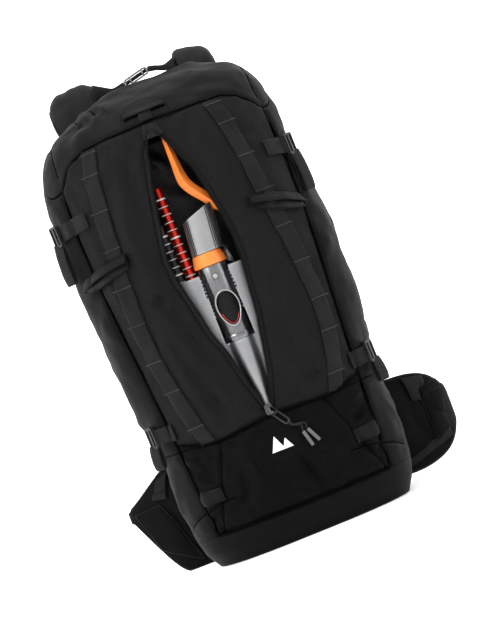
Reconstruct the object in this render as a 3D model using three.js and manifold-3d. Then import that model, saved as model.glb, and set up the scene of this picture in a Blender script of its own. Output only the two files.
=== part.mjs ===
// An avalanche airbag backpack, standing upright on its base.
// Millimetres. +Z is up, the front faces -Y and the harness is on +Y.
// +X is to the right seen from the front.
// The origin is the centre of the flat face that the pack stands on.
import * as THREE from 'three';
import { mergeVertices } from 'three/addons/utils/BufferGeometryUtils.js';
import Module from 'manifold-3d';

const wasm = await Module();
wasm.setup();

// ---------------------------------------------------------------- driving dimensions

const PACK_HEIGHT = 588;
const WALL = 3; // fabric wall, with its foam backing
const GAP = 0.3; // between pieces that touch
const KERF = 0.25; // half of the gap at a sewn seam
const MIDDLE_Y = 10; // where every section is widest
const FRONT_ROUNDNESS = 2.8; // superellipse exponent of the front half
const BACK_ROUNDNESS = 5; // and of the flatter back half
const SECTION_SIDES = 36;
const FINEST = 0.03; // slivers thinner than this are merged away
const FAR = 400; // further out than anything, sideways
const ABOVE = 700; // and above it
const BELOW = -60;

// height, centre x, half width, front y, back y
const SECTIONS = [
  [0, 0, 121, -84, 80],
  [10, -1, 134, -98, 89],
  [40, 0, 142, -107, 94],
  [100, 0, 146, -110, 95],
  [150, 0, 141, -109, 95],
  [200, -1, 149, -110, 95],
  [250, 0, 155, -111, 95],
  [350, -1, 159, -111, 95],
  [450, -7, 156, -110, 95],
  [500, -5, 155, -104, 95],
  [535, -2, 146, -95, 94],
  [550, 1, 134, -87, 91],
  [560, 3, 122, -78, 88],
  [570, 8, 109, -64, 84],
  [578, 11, 88, -48, 78],
  [PACK_HEIGHT, 12, 48, -16, 58],
];

const LID_HINGE = { y: 88, z: 560 };
const LID_FRONT = -95; // y at which LID_SEAM gives the seam's height
const LID_REACH = 220; // the cut along the seam runs this far in front and behind
// half width, height of the lid's seam on the front
const LID_SEAM = [
  [0, 533], [60, 531], [90, 528], [107, 520], [120, 507], [132, 486], [150, 470], [240, 440],
];

const BOTTOM_SEAM = 40;
const BACK_SEAM = 84;
// height, half width of the seam between the front and the sides
const SIDE_SEAM = [
  [0, 110], [40, 112], [150, 118], [215, 122], [260, 125], [300, 128.5], [350, 132], [430, 135], [600, 128],
];
// x, height of the top seam of the front pocket
const POCKET_SEAM = [
  [-200, 162], [-118, 160], [-95, 150], [-70, 146], [0, 153], [70, 149], [90, 152], [118, 160], [200, 162],
];

// The long front zip stands open in the shape of a lens: height, left edge, right edge.
const ZIP_OPENING = [
  [158, -1, 5], [170, -4, 11], [200, -13, 21], [240, -22, 29], [270, -32, 35], [300, -37, 38],
  [340, -46, 43], [370, -48, 44], [400, -43, 40], [460, -31, 30], [500, -21, 12], [521, -7, -3],
];
const ZIP_CENTRE = [[100, 3], [158, 2], [521, -5], [600, -7]]; // height, x
const ZIP_TAPE = 4.5;

const WEBBING = 1.6; // thickness
const ON_WALL = 0.5; // height of sewn-on trim above the wall
const DAISY_WIDTH = 18;
// height, inner edge of each daisy chain
const DAISY_LEFT = [
  [148, -70], [170, -77], [220, -87], [262, -94], [310, -97],
  [355, -95], [400, -91], [450, -87], [500, -82], [528, -74],
];
const DAISY_RIGHT = [
  [150, 75], [175, 83], [222, 95], [262, 97], [312, 95],
  [360, 90], [405, 84], [455, 80], [500, 73], [528, 65],
];

const UPPER_STRAP_Z = 447;
const LOWER_STRAP_Z = 178;
const STRAP_WIDTH = 20;
const LOCK_TURN = 0.42; // where a ladder-lock sits, in radians in front of the widest point
const LOCK_THICK = 4.5;

const DIVIDER_Y = -54; // front face of the wall behind the tool compartment
const DIVIDER_THICK = 2;

const SLIDER = { x: 2, z: 160, back: -111.7 };
const PULL = { width: 9, length: 30, lean: 0.6, cord: 0.9, tube: 2.3 };
const PULL_TOPS = [[30, 121], [36, 122]]; // x, z where each end tube of the pull's cord starts
const PULL_TIPS = [[35, 101], [44.5, 104]]; // and where it ends

const YOKE = { inner: 42, outer: 112, thick: 11, low: 500, shoulder: 552 };
const STRAP_PATH = [ // y, z of a shoulder strap's centre line, from the top of its arch
  [133, 611], [147, 606], [158, 591], [164, 556], [165, 500], [162, 420], [156, 340], [150, 270], [146, 215],
];
const STRAP_HALF = 33;
const STRAP_X = 77;

const HAUL = { z: 607, thick: 2.4, y0: 103, y1: 115 };
const HOOK = { x: [-14, 19] };
const STERNUM = { clear: 0.9, z: 405, low: 360, high: 450, faceLow: 164.4, faceHigh: 169.9 };
const TRIGGER = { x: -77, y: 163.5, z: 318 };
// x, y, top, bottom, lean inwards at the bottom edge: stations along each hip wing, drawn on the +X side
const HIP_STATIONS = {
  left: [
    [99.5, 104, 132, 12, 0], [132, 106, 140, 5, 3], [170, 113, 132, 3, 10], [203, 127, 113, 3, 26],
    [221, 152, 99, 10, 38], [213, 190, 93, 26, 26], [180, 215, 90, 40, 12], [138, 228, 88, 46, 4],
  ],
  right: [
    [99.5, 104, 130, 18, 0], [132, 106, 138, 11, 3], [170, 113, 138, 12, 8], [203, 127, 128, 18, 12],
    [221, 152, 112, 28, 12], [213, 190, 100, 36, 10], [180, 215, 92, 42, 8], [138, 228, 88, 46, 4],
  ],
};
const HIP_THICK = 10;
const HIP_WEB = 38;
const HIP_WEB_Z = 67;
const HIP_BUCKLE = { length: 51.5, reach: 26, y: [236, 247] };
const BUCKLE_GAP = 30; // half of the gap between the open hip buckle's halves

const SOCKET = { x: 2, y: -86, radius: 18, wall: 2.4, low: 250.4, high: 349.6 };
const SOCKET_WINDOW = { dx: 1.5, z: 290, half: 11, narrowing: 2, reach: 20 }; // an egg, narrower at its top
const SOCKET_BUTTON = { z: 331, radius: 3.4, hole: 3.9, proud: 1.6, deep: 4 };
const COLLAR = { radius: 19, bore: 14, height: 11, above: 5.9 };
const SHAFT = { x: 5, lean: 6, rx: 20.5, ry: 16, wall: 2, start: 12, top: 432 };
const BLADE = { y: -97, thick: 2.4 };
// height, half width, depth of the bend: rows of the shovel's blade
const BLADE_ROWS = [[64, 84, 12], [74, 98, 17], [150, 108, 22], [290, 104, 22], [338, 92, 18]];
// x, z round the shovel's handle: a grip at the top and a bent stem
const HANDLE = [
  [-4, 500], [0, 508], [8, 509], [14, 502], [17, 468], [42, 424], [39, 417], [27, 420], [5, 452], [1, 462],
];
const HANDLE_DEPTH = [-94, -70];
const PROBE = { radius: 6.5, low: 70, y: -76 };
// name, x, top, colour
const PROBE_SECTIONS = [['red', -25.5, 455, 'red'], ['black', -39.5, 412, 'plastic']];
const FAN = { x: 35, z: 440, radius: 46, front: 34, back: 80, inlet: 22, wall: 2.5, blades: 7 };
const AIRBAG = { width: 212, depth: 68, y: 42 };
// height, share of its full size
const AIRBAG_ROWS = [[527, 0.9], [531, 1], [549, 1], [553, 0.9]];
const BATTERY_X = -45; // its switch sits here too

const COLOURS = {
  matt: 0x17181a, glossy: 0x2b2d30, lining: 0x131313, webbing: 0x1a1b1c, foam: 0x1d1e20,
  plastic: 0x0c0c0d, steel: 0xb9bcc0, orange: 0xf07820, red: 0xb01818, dark_metal: 0x8d9095,
  airbag: 0xd24a12,
};

// ---------------------------------------------------------------- helpers

const group = new THREE.Group();

function finish(colour, roughness = 0.8, metalness = 0) {
  return new THREE.MeshStandardMaterial({ color: COLOURS[colour], roughness, metalness });
}

function solid(geometry) {
  const plain = geometry.index ? geometry.clone() : geometry;
  plain.deleteAttribute('normal');
  plain.deleteAttribute('uv');
  const merged = mergeVertices(plain, 1e-4);
  return new wasm.Manifold(new wasm.Mesh({
    numProp: 3,
    vertProperties: new Float32Array(merged.attributes.position.array),
    triVerts: new Uint32Array(merged.index.array),
  }));
}

function add(name, shape, material) {
  const mesh = shape.simplify(FINEST).getMesh();
  const geometry = new THREE.BufferGeometry();
  geometry.setAttribute('position', new THREE.BufferAttribute(new Float32Array(mesh.vertProperties), 3));
  geometry.setIndex(new THREE.BufferAttribute(new Uint32Array(mesh.triVerts), 1));
  geometry.computeVertexNormals();
  const made = new THREE.Mesh(geometry, material);
  made.name = name;
  group.add(made);
  return made;
}

// Straight-line value between the rows of a table whose first column rises.
function between(table, at, column = 1) {
  const last = table.length - 1;
  if (at <= table[0][0]) return table[0][column];
  if (at >= table[last][0]) return table[last][column];
  const i = table.findIndex((row) => row[0] > at) - 1;
  const share = (at - table[i][0]) / (table[i + 1][0] - table[i][0]);
  return table[i][column] + share * (table[i + 1][column] - table[i][column]);
}

// A closed body through rings of points; every ring has as many points as the first. The ends are fans
// about their middles, or on a bent strip, quads between the first half of the ring and the second.
function loft(rings, strip = false) {
  const sides = rings[0].length;
  const points = rings.flat(2);
  const index = [];
  for (let r = 0; r + 1 < rings.length; r += 1) {
    for (let i = 0; i < sides; i += 1) {
      const a = r * sides + i;
      const b = r * sides + ((i + 1) % sides);
      index.push(a, b, b + sides, a, b + sides, a + sides);
    }
  }
  for (const r of [0, rings.length - 1]) {
    for (let i = 0; strip && i + 1 < sides / 2; i += 1) {
      const [a, b, c, d] = [i, i + 1, sides - 2 - i, sides - 1 - i].map((k) => r * sides + k);
      index.push(...(r === 0 ? [a, c, b, a, d, c] : [a, b, c, a, c, d]));
    }
    if (strip) continue;
    const middle = [0, 1, 2].map((k) => rings[r].reduce((sum, p) => sum + p[k], 0) / sides);
    const centre = points.length / 3;
    points.push(...middle);
    for (let i = 0; i < sides; i += 1) {
      const a = r * sides + i;
      const b = r * sides + ((i + 1) % sides);
      index.push(...(r === 0 ? [centre, b, a] : [centre, a, b]));
    }
  }
  const geometry = new THREE.BufferGeometry();
  geometry.setAttribute('position', new THREE.Float32BufferAttribute(points, 3));
  geometry.setIndex(index);
  const body = solid(geometry);
  if (body.volume() > 0) return body;
  geometry.setIndex(index.reverse());
  return solid(geometry);
}

function box(x0, x1, y0, y1, z0, z1) {
  const geometry = new THREE.BoxGeometry(x1 - x0, y1 - y0, z1 - z0);
  geometry.translate((x0 + x1) / 2, (y0 + y1) / 2, (z0 + z1) / 2);
  return solid(geometry);
}

function outline(points) {
  return new THREE.Shape(points.map(([a, b]) => new THREE.Vector2(a, b)));
}

// A rectangle with rounded corners, about (0, 0), as a list of points.
function rounded(width, height, radius, perCorner = 3) {
  const points = [];
  for (const [x, y, start] of [[1, -1, -0.5], [1, 1, 0], [-1, 1, 0.5], [-1, -1, 1]]) {
    for (let i = 0; i <= perCorner; i += 1) {
      const turn = Math.PI * (start + i / perCorner / 2);
      points.push([
        x * (width / 2 - radius) + radius * Math.cos(turn),
        y * (height / 2 - radius) + radius * Math.sin(turn),
      ]);
    }
  }
  return points;
}

function extrude(shape, depth) {
  return new THREE.ExtrudeGeometry(shape, { depth, bevelEnabled: false, curveSegments: 4 });
}

// A prism whose outline is drawn in x and z, from y0 to y1.
function prismXZ(points, y0 = -FAR, y1 = 0) {
  const geometry = extrude(outline(points), y1 - y0);
  geometry.rotateX(Math.PI / 2);
  geometry.translate(0, y1, 0);
  return solid(geometry);
}

// A prism whose outline is drawn in y and z, from x0 to x1.
function prismYZ(points, x0, x1) {
  const geometry = extrude(outline(points), x1 - x0);
  geometry.applyMatrix4(new THREE.Matrix4().makeBasis(
    new THREE.Vector3(0, 1, 0), new THREE.Vector3(0, 0, 1), new THREE.Vector3(1, 0, 0),
  ));
  geometry.translate(x0, 0, 0);
  return solid(geometry);
}

function cylinder(radius, height, sides) {
  const geometry = new THREE.CylinderGeometry(radius, radius, height, sides);
  geometry.rotateX(Math.PI / 2);
  return geometry;
}

// A tube or bar of the section `shape` along the curve through `points`.
function sweep(points, shape, steps) {
  const path = new THREE.CatmullRomCurve3(points.map((p) => new THREE.Vector3(...p)));
  const options = { extrudePath: path, steps, curveSegments: 3, bevelEnabled: false };
  return solid(new THREE.ExtrudeGeometry(shape, options));
}

function circle(radius, sides) {
  const points = [];
  for (let i = 0; i < sides; i += 1) {
    const turn = (2 * Math.PI * i) / sides;
    points.push([radius * Math.cos(turn), radius * Math.sin(turn)]);
  }
  return points;
}

function mirrored(body) {
  const mesh = body.getMesh();
  const geometry = new THREE.BufferGeometry();
  const points = new Float32Array(mesh.vertProperties);
  for (let i = 0; i < points.length; i += 3) points[i] = -points[i];
  geometry.setAttribute('position', new THREE.BufferAttribute(points, 3));
  geometry.setIndex([...mesh.triVerts].reverse());
  return solid(geometry);
}

// ---------------------------------------------------------------- the pack's outer surface

function section(z) {
  const [x, half, front, back] = [1, 2, 3, 4].map((column) => between(SECTIONS, z, column));
  return { x, half, front, back };
}

// Point `turn` radians round the section at height z, moved out by `out`.
function sectionPoint(z, turn, out = 0) {
  const s = section(z);
  const [c, n] = [Math.cos(turn), Math.sin(turn)];
  const power = 2 / (n < 0 ? FRONT_ROUNDNESS : BACK_ROUNDNESS);
  const depth = n < 0 ? MIDDLE_Y - s.front : s.back - MIDDLE_Y;
  return [
    s.x + (s.half + out) * Math.sign(c) * Math.abs(c) ** power,
    MIDDLE_Y + (depth + out) * Math.sign(n) * Math.abs(n) ** power,
  ];
}

// The whole pack as one closed body, moved out by `out` all over.
function packBody(out) {
  return loft(SECTIONS.map(([z]) => {
    const height = -out + (z * (PACK_HEIGHT + 2 * out)) / PACK_HEIGHT;
    const ring = [];
    for (let i = 0; i < SECTION_SIDES; i += 1) {
      const turn = (2 * Math.PI * (i + 0.5)) / SECTION_SIDES;
      ring.push([...sectionPoint(z, turn, out), height]);
    }
    return ring;
  }));
}

// A layer that follows the pack's surface, from `inner` to `outer` outside it.
function skin(inner, outer) {
  return packBody(outer).subtract(packBody(inner));
}

function lidSeam(x, y) {
  const front = between(LID_SEAM, Math.abs(x));
  const share = (LID_HINGE.y - y) / (LID_HINGE.y - LID_FRONT);
  return LID_HINGE.z + (front - LID_HINGE.z) * Math.max(0, share);
}

// Everything between the lid's seam, moved up by `up`, and the height z.
function beyondLidSeam(up, z) {
  const halves = LID_SEAM.map(([x]) => x);
  const stations = [...halves.slice(1).reverse().map((x) => -x), ...halves];
  return loft(stations.map((x) => [
    [x, -LID_REACH, lidSeam(x, -LID_REACH) + up],
    [x, LID_HINGE.y, LID_HINGE.z + up],
    [x, LID_REACH, LID_HINGE.z + up],
    [x, LID_REACH, z],
    [x, -LID_REACH, z],
  ]));
}

// ---------------------------------------------------------------- fabric shell

const shell = packBody(0).subtract(packBody(-WALL));
const lidShell = shell.intersect(beyondLidSeam(KERF, ABOVE));
const tubShell = shell.intersect(beyondLidSeam(-KERF, BELOW));

function sideSeamOutline(grow) {
  const right = SIDE_SEAM.map(([z, x]) => [x + grow, z]);
  const left = SIDE_SEAM.map(([z, x]) => [-x - grow, z]).reverse();
  return [...right, ...left];
}

function pocketSeamAndDown(up, low) {
  const line = POCKET_SEAM.map(([x, z]) => [x, z + up]);
  return prismXZ([[-200, low], [200, low], ...line.reverse()]);
}

// The zip's opening, wider by `grow` on both edges.
function zipOpening(grow) {
  const rows = ZIP_OPENING.filter(([, left, right]) => right - left + 2 * grow > 1);
  const right = rows.map(([z, , x], i) => [x + grow, i ? z : z - Math.abs(grow)]);
  const left = rows.map(([z, x], i) => [x - grow, i ? z : z - Math.abs(grow)]).reverse();
  return prismXZ([...right, ...left]);
}

// All that lies on one side of the line down the middle of the zip; side is -1 for left.
function besideZip(side) {
  const line = ZIP_CENTRE.map(([z, x]) => [x + side * KERF, z]);
  return prismXZ([...line, [side * 220, 600], [side * 220, 100]]);
}

function makeShell() {
  const cloth = finish('matt', 0.9);
  const glossy = finish('glossy', 0.55);
  const bottom = tubShell.intersect(box(-FAR, FAR, -FAR, FAR, BELOW, BOTTOM_SEAM - KERF));
  const upper = tubShell.intersect(box(-FAR, FAR, -FAR, FAR, BOTTOM_SEAM + KERF, ABOVE));
  const back = upper.intersect(box(-FAR, FAR, BACK_SEAM + KERF, FAR, 0, ABOVE));
  const wrap = upper.intersect(box(-FAR, FAR, -FAR, BACK_SEAM - KERF, 0, ABOVE));
  const front = wrap.intersect(prismXZ(sideSeamOutline(-KERF)));
  const sides = wrap.subtract(prismXZ(sideSeamOutline(KERF)));
  const pocket = front.intersect(pocketSeamAndDown(-KERF, 0));
  const panels = front.subtract(pocketSeamAndDown(KERF, 0));
  const cut = panels.subtract(zipOpening(GAP));
  const rim = panels.intersect(zipOpening(0)).subtract(zipOpening(-ZIP_TAPE));

  add('bottom_panel', bottom, glossy);
  add('back_panel', back, cloth);
  add('side_panel_left', sides.intersect(box(-FAR, 0, -FAR, FAR, 0, ABOVE)), glossy);
  add('side_panel_right', sides.intersect(box(0, FAR, -FAR, FAR, 0, ABOVE)), glossy);
  add('front_pocket', pocket, cloth);
  add('front_panel_left', cut.intersect(besideZip(-1)), cloth);
  add('front_panel_right', cut.intersect(besideZip(1)), cloth);
  add('zip_tape_left', rim.intersect(besideZip(-1)), finish('webbing', 0.6));
  add('zip_tape_right', rim.intersect(besideZip(1)), finish('webbing', 0.6));
  add('lid', lidShell, cloth);
}

function makeInnerWalls() {
  const room = packBody(-WALL - 0.6);
  const divider = room.intersect(box(-FAR, FAR, DIVIDER_Y, DIVIDER_Y + DIVIDER_THICK, 46, 490));
  add('tool_divider', divider, finish('lining', 0.7));
  add('frame_sheet', box(-85, 85, 84, 86.5, 48, 520), finish('plastic', 0.5));
}

// ---------------------------------------------------------------- sewn-on trim

const trim = skin(ON_WALL, ON_WALL + WEBBING);
const flapLayer = skin(2 * ON_WALL + WEBBING + 0.4, 2 * ON_WALL + WEBBING + 3.4);

function makeDaisyChain(name, edge, side) {
  const inner = edge.map(([z, x]) => [x, z]);
  const outer = edge.map(([z, x]) => [x + side * DAISY_WIDTH, z + 1]).reverse();
  const strip = trim.intersect(prismXZ([...inner, ...outer]));
  add(name, strip.intersect(beyondLidSeam(-2, BELOW)), finish('webbing', 0.7));
}

function makeTopTrim() {
  const placed = prismXZ(rounded(58, 23, 9).map(([x, z]) => [x - 4, z + 548]));
  add('lid_patch', trim.intersect(placed), finish('matt', 0.8));
  const garage = prismXZ([[-12, 529], [-16.5, 512], [9, 512], [5, 529]]);
  add('zip_garage', trim.intersect(garage), finish('webbing', 0.6));
}

function makeToolFlaps() {
  const left = [[-86, 379], [-86, 397], [-113, 396], [-150, 380], [-149, 363], [-113, 366]];
  const right = [[72, 387], [72, 406], [94, 406], [137, 391], [135, 364], [94, 370]];
  add('tool_flap_left', flapLayer.intersect(prismXZ(left)), finish('matt', 0.8));
  add('tool_flap_right', flapLayer.intersect(prismXZ(right)), finish('matt', 0.8));
}

// The angle from +X of the outward direction at `turn` round the section at height z.
function facing(z, turn) {
  const [a, b] = [sectionPoint(z, turn - 0.03), sectionPoint(z, turn + 0.03)];
  return Math.atan2(-(b[0] - a[0]), b[1] - a[1]);
}

// A two-slot webbing buckle about the origin: x runs along the strap, z up and -y outwards.
function ladderLock(webWidth) {
  let frame = prismXZ(rounded(22, webWidth + 7, 3), -LOCK_THICK, 0);
  for (const along of [-5.2, 5.2]) {
    const half = webWidth / 2 + 0.5;
    frame = frame.subtract(box(along - 2.6, along + 2.6, -9, 5, -half, half));
  }
  return frame;
}

// A body turned by `angle` about +Z and then moved.
function placed(body, angle, x, y, z) {
  return body.rotate([0, 0, (angle * 180) / Math.PI]).translate([x, y, z]);
}

function makeCompressionStraps() {
  const half = STRAP_WIDTH / 2;
  for (const [level, z] of [['upper', UPPER_STRAP_Z], ['lower', LOWER_STRAP_Z]]) {
    const band = [[-96, z - half - 7], [-84, z - half - 7], [-74, z - half], [78, z - half],
      [78, z + half], [-74, z + half], [-84, z + half + 9], [-96, z + half + 9]];
    for (const [name, side] of [['left', -1], ['right', 1]]) {
      const reach = side < 0 ? [-FAR, -110] : [110, FAR];
      const strap = trim.intersect(prismYZ(band, ...reach));
      add(`compression_strap_${level}_${name}`, strap, finish('webbing', 0.6));

      const turn = side < 0 ? Math.PI + LOCK_TURN : 2 * Math.PI - LOCK_TURN;
      const [x, y] = sectionPoint(z, turn, 2 * ON_WALL + WEBBING + 1.2);
      const lock = placed(ladderLock(STRAP_WIDTH), facing(z, turn) + Math.PI / 2, x, y, z);
      add(`compression_buckle_${level}_${name}`, lock, finish('plastic', 0.4));
    }
  }
}

// ---------------------------------------------------------------- main zip

function makeZipPull() {
  const dark = finish('plastic', 0.35, 0.4);
  const y = SLIDER.back;
  const body = prismXZ(rounded(9.5, 13, 3).map(([x, z]) => [x + SLIDER.x, z + SLIDER.z]), y - 3.2, y);
  const bail = box(SLIDER.x - 1.5, SLIDER.x + 1.5, y - 7.4, y - 3, SLIDER.z - 3.5, SLIDER.z + 4.5);
  const eye = box(SLIDER.x - 3, SLIDER.x + 3, y - 5.9, y - 3.2, SLIDER.z - 2.2, SLIDER.z + 2.8);
  add('zip_slider', body.add(bail).subtract(eye), dark);

  // the ring hangs from the bail, leaning by PULL.lean from straight down
  const hung = ([x, z]) => [x, z - PULL.length / 2 + 1];
  let ring = prismXZ(rounded(PULL.width, PULL.length, 4).map(hung), -0.9, 0.9);
  ring = ring.subtract(box(-3.5, 3.5, -3, 3, -8, -0.7));
  ring = ring.subtract(box(-2.4, 2.4, -3, 3, -PULL.length + 3.4, -10));
  const hangs = [0, (-PULL.lean * 180) / Math.PI, 0];
  const at = [SLIDER.x, y - 4.6, SLIDER.z + 0.6];
  add('zip_pull', ring.rotate(hangs).translate(at), dark);

  const along = (distance) => [
    at[0] + Math.sin(PULL.lean) * distance, at[1], at[2] - Math.cos(PULL.lean) * distance,
  ];
  const knot = along(PULL.length - 0.2 + 1.4);
  const cordShape = outline(circle(PULL.cord, 8));
  const tops = PULL_TOPS.map(([x, z]) => [x, y - 3.2, z]);
  const cord = sweep([
    tops[0], [knot[0] - 0.5, y - 4, knot[2] - 6], knot, [knot[0] + 3.5, y - 4, knot[2] - 5.5], tops[1],
  ], cordShape, 14);
  add('zip_pull_cord', cord, finish('webbing', 0.9));
  PULL_TIPS.forEach(([x, z], i) => {
    const [from, to] = [new THREE.Vector3(...tops[i]), new THREE.Vector3(x, y - 2.9, z)];
    const direction = to.clone().sub(from).normalize();
    from.addScaledVector(direction, GAP + 0.2);
    const line = [from, from.clone().lerp(to, 0.5), to].map((point) => point.toArray());
    const tube = sweep(line, outline(circle(PULL.tube, 10)), 3);
    add(`zip_cord_end_${i ? 'right' : 'left'}`, tube, finish('dark_metal', 0.4, 0.2));
  });
}

// ---------------------------------------------------------------- harness

// Half width across, at each point of a path in y and z: a flat band that follows it.
function band(path, x, halfWidths, thick) {
  const curve = new THREE.CatmullRomCurve3(path.map(([y, z]) => new THREE.Vector3(0, y, z)));
  const steps = path.length * 2;
  const rings = [];
  for (let i = 0; i <= steps; i += 1) {
    const share = i / steps;
    const p = curve.getPointAt(share);
    const t = curve.getTangentAt(share);
    const across = [-t.z, t.y].map((v) => (v * thick) / 2);
    const half = between(halfWidths, share);
    const bevel = Math.min(thick * 0.4, half * 0.3);
    const middle = typeof x === 'number' ? x : between(x, share);
    const ring = [
      [-half, 0.4], [-half + bevel, 1], [half - bevel, 1], [half, 0.4],
      [half, -0.4], [half - bevel, -1], [-half + bevel, -1], [-half, -0.4],
    ];
    rings.push(ring.map(([a, b]) => [middle + a, p.y + across[0] * b, p.z + across[1] * b]));
  }
  return loft(rings);
}

function makeYoke() {
  const { inner, outer, thick, low, shoulder } = YOKE;
  const legPath = [[102, shoulder - 20], [104, 570], [109, 593], [118, 605.5], [128.5, 610.4]];
  const plate = box(-outer, outer, 96.5, 96.5 + thick, low, shoulder);
  const middle = (inner + outer) / 2;
  const half = (outer - inner) / 2;
  const leg = band(legPath, middle, [[0, half], [1, STRAP_HALF]], thick);
  add('shoulder_yoke', plate.add(leg).add(mirrored(leg)), finish('foam', 0.85));

  // one thin grab strap across the gap between the arches, with a metal hook on it
  const sag = [[-inner + GAP, 3], [-20, 1], [0, 0], [20, -0.5], [inner - GAP, -1]];
  const top = sag.map(([x, dz]) => [x, HAUL.z + dz]);
  const under = top.map(([x, z]) => [x, z - HAUL.thick]).reverse();
  add('haul_strap', prismXZ([...top, ...under], HAUL.y0, HAUL.y1), finish('webbing', 0.7));
  const hook = box(...HOOK.x, HAUL.y0 - 2.2, HAUL.y1 + 2.2, HAUL.z - 6, HAUL.z + 4.4);
  const hole = box(-outer, outer, HAUL.y0 - 0.6, HAUL.y1 + 0.6, HAUL.z - 4.2, HAUL.z + 2.6);
  add('haul_hook', hook.subtract(hole), finish('steel', 0.3, 1));
}

function makeShoulderStraps() {
  for (const [name, side] of [['left', -1], ['right', 1]]) {
    const x = side * STRAP_X;
    const strap = band(STRAP_PATH, x, [[0, STRAP_HALF], [0.75, STRAP_HALF - 2], [1, 17]], YOKE.thick);
    add(`shoulder_strap_${name}`, strap, finish('foam', 0.85));
    const end = STRAP_PATH.at(-1);
    const tail = [[end[0] - 1, end[1] - 1], [137, 190], [120, 165], [94, 140]];
    const web = band(tail, [[0, x], [0.6, side * 108], [1, side * 114]], [[0, 11], [1, 11]], 2);
    add(`shoulder_webbing_${name}`, web, finish('webbing', 0.7));
  }
}

function makeSternumStrap() {
  const slope = (STERNUM.faceHigh - STERNUM.faceLow) / (STERNUM.high - STERNUM.low);
  const face = STERNUM.faceLow + slope * (STERNUM.z - STERNUM.low) + STERNUM.clear;
  for (const [name, side] of [['left', -1], ['right', 1]]) {
    const span = (a, b) => (side < 0 ? [-b, -a] : [a, b]);
    const z = STERNUM.z;
    const slide = box(...span(STRAP_X - 33, STRAP_X - 8), face, face + 5, z - 13, z + 13);
    const web = box(...span(30, STRAP_X - 30), face + 1, face + 3, z - 10, z + 10);
    const half = box(...span(4, 32), face - 1.5, face + 6.5, z - 13, z + 13);
    add(`sternum_strap_${name}`, slide.add(web).add(half), finish('plastic', 0.45));
  }
}

function makeTriggerHandle() {
  const { x, y, z } = TRIGGER;
  const grip = prismXZ(rounded(24, 64, 9).map(([a, b]) => [a + x, b + z]), y, y + 13);
  const hollow = prismXZ(rounded(11, 34, 5).map(([a, b]) => [a + x, b + z - 6]), y - 5, y + 20);
  add('trigger_handle', grip.subtract(hollow), finish('red', 0.5));
}

function makeBackPad() {
  const pad = prismXZ(rounded(190, 470, 22).map(([x, z]) => [x, z + 257]), 95.6, 106);
  const channel = box(-11, 11, 101, 120, 60, 470);
  add('back_pad', pad.subtract(channel), finish('foam', 0.9));
}

// A hip wing bends from the lumbar pad round to its buckle; lean tips its lower edge inwards.
function hipWing(stations) {
  const rings = stations.map(([x, y, top, low, lean], i) => {
    const a = stations[Math.max(0, i - 1)];
    const b = stations[Math.min(stations.length - 1, i + 1)];
    const length = Math.hypot(b[0] - a[0], b[1] - a[1]);
    const normal = [(b[1] - a[1]) / length, -(b[0] - a[0]) / length];
    const toMiddle = [-lean * normal[0], -lean * normal[1]];
    const corner = (out, height) => {
      const z = low + (top - low) * height;
      const lower = 1 - height;
      return [x + normal[0] * out + toMiddle[0] * lower, y + normal[1] * out + toMiddle[1] * lower, z];
    };
    const half = HIP_THICK / 2;
    return [
      corner(half * 0.4, 0), corner(half, 0.12), corner(half, 0.88), corner(half * 0.4, 1),
      corner(-half * 0.4, 1), corner(-half, 0.88), corner(-half, 0.12), corner(-half * 0.4, 0),
    ];
  });
  return loft(rings);
}

function makeHipBelt() {
  const [x, y] = HIP_STATIONS.left.at(-1);
  const z = HIP_WEB_Z;
  const path = [[x - 1, y + 0.4, z], [100, 238, z], [BUCKLE_GAP + 52, 241, z]];
  const half = HIP_WEB / 2;
  const webbing = sweep(path, outline([[-half, -1], [half, -1], [half, 1], [-half, 1]]), 6);
  for (const [name, side] of [['left', -1], ['right', 1]]) {
    const wing = hipWing(HIP_STATIONS[name]);
    add(`hip_wing_${name}`, side < 0 ? mirrored(wing) : wing, finish('foam', 0.85));
    add(`hip_webbing_${name}`, side < 0 ? mirrored(webbing) : webbing, finish('webbing', 0.7));
  }
  const inner = BUCKLE_GAP;
  const { length, reach } = HIP_BUCKLE;
  const shellBody = box(inner, inner + length, ...HIP_BUCKLE.y, z - reach, z + reach);
  const mouth = box(inner - 5, inner + 36, 238.5, 244.5, z - 20, z + 20);
  add('hip_buckle_female', shellBody.subtract(mouth), finish('plastic', 0.4));
  const plate = box(-inner - length, -inner - 20, 236.5, 246.5, z - 25, z + 25);
  let prongs = box(-inner - 25, -inner, 239.5, 243.5, z - 18, z + 18);
  prongs = prongs.subtract(box(-inner - 19, -inner + 5, 230, 250, z - 5, z + 5));
  add('hip_buckle_male', plate.add(prongs), finish('plastic', 0.4));
}

// ---------------------------------------------------------------- stowed tools

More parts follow.
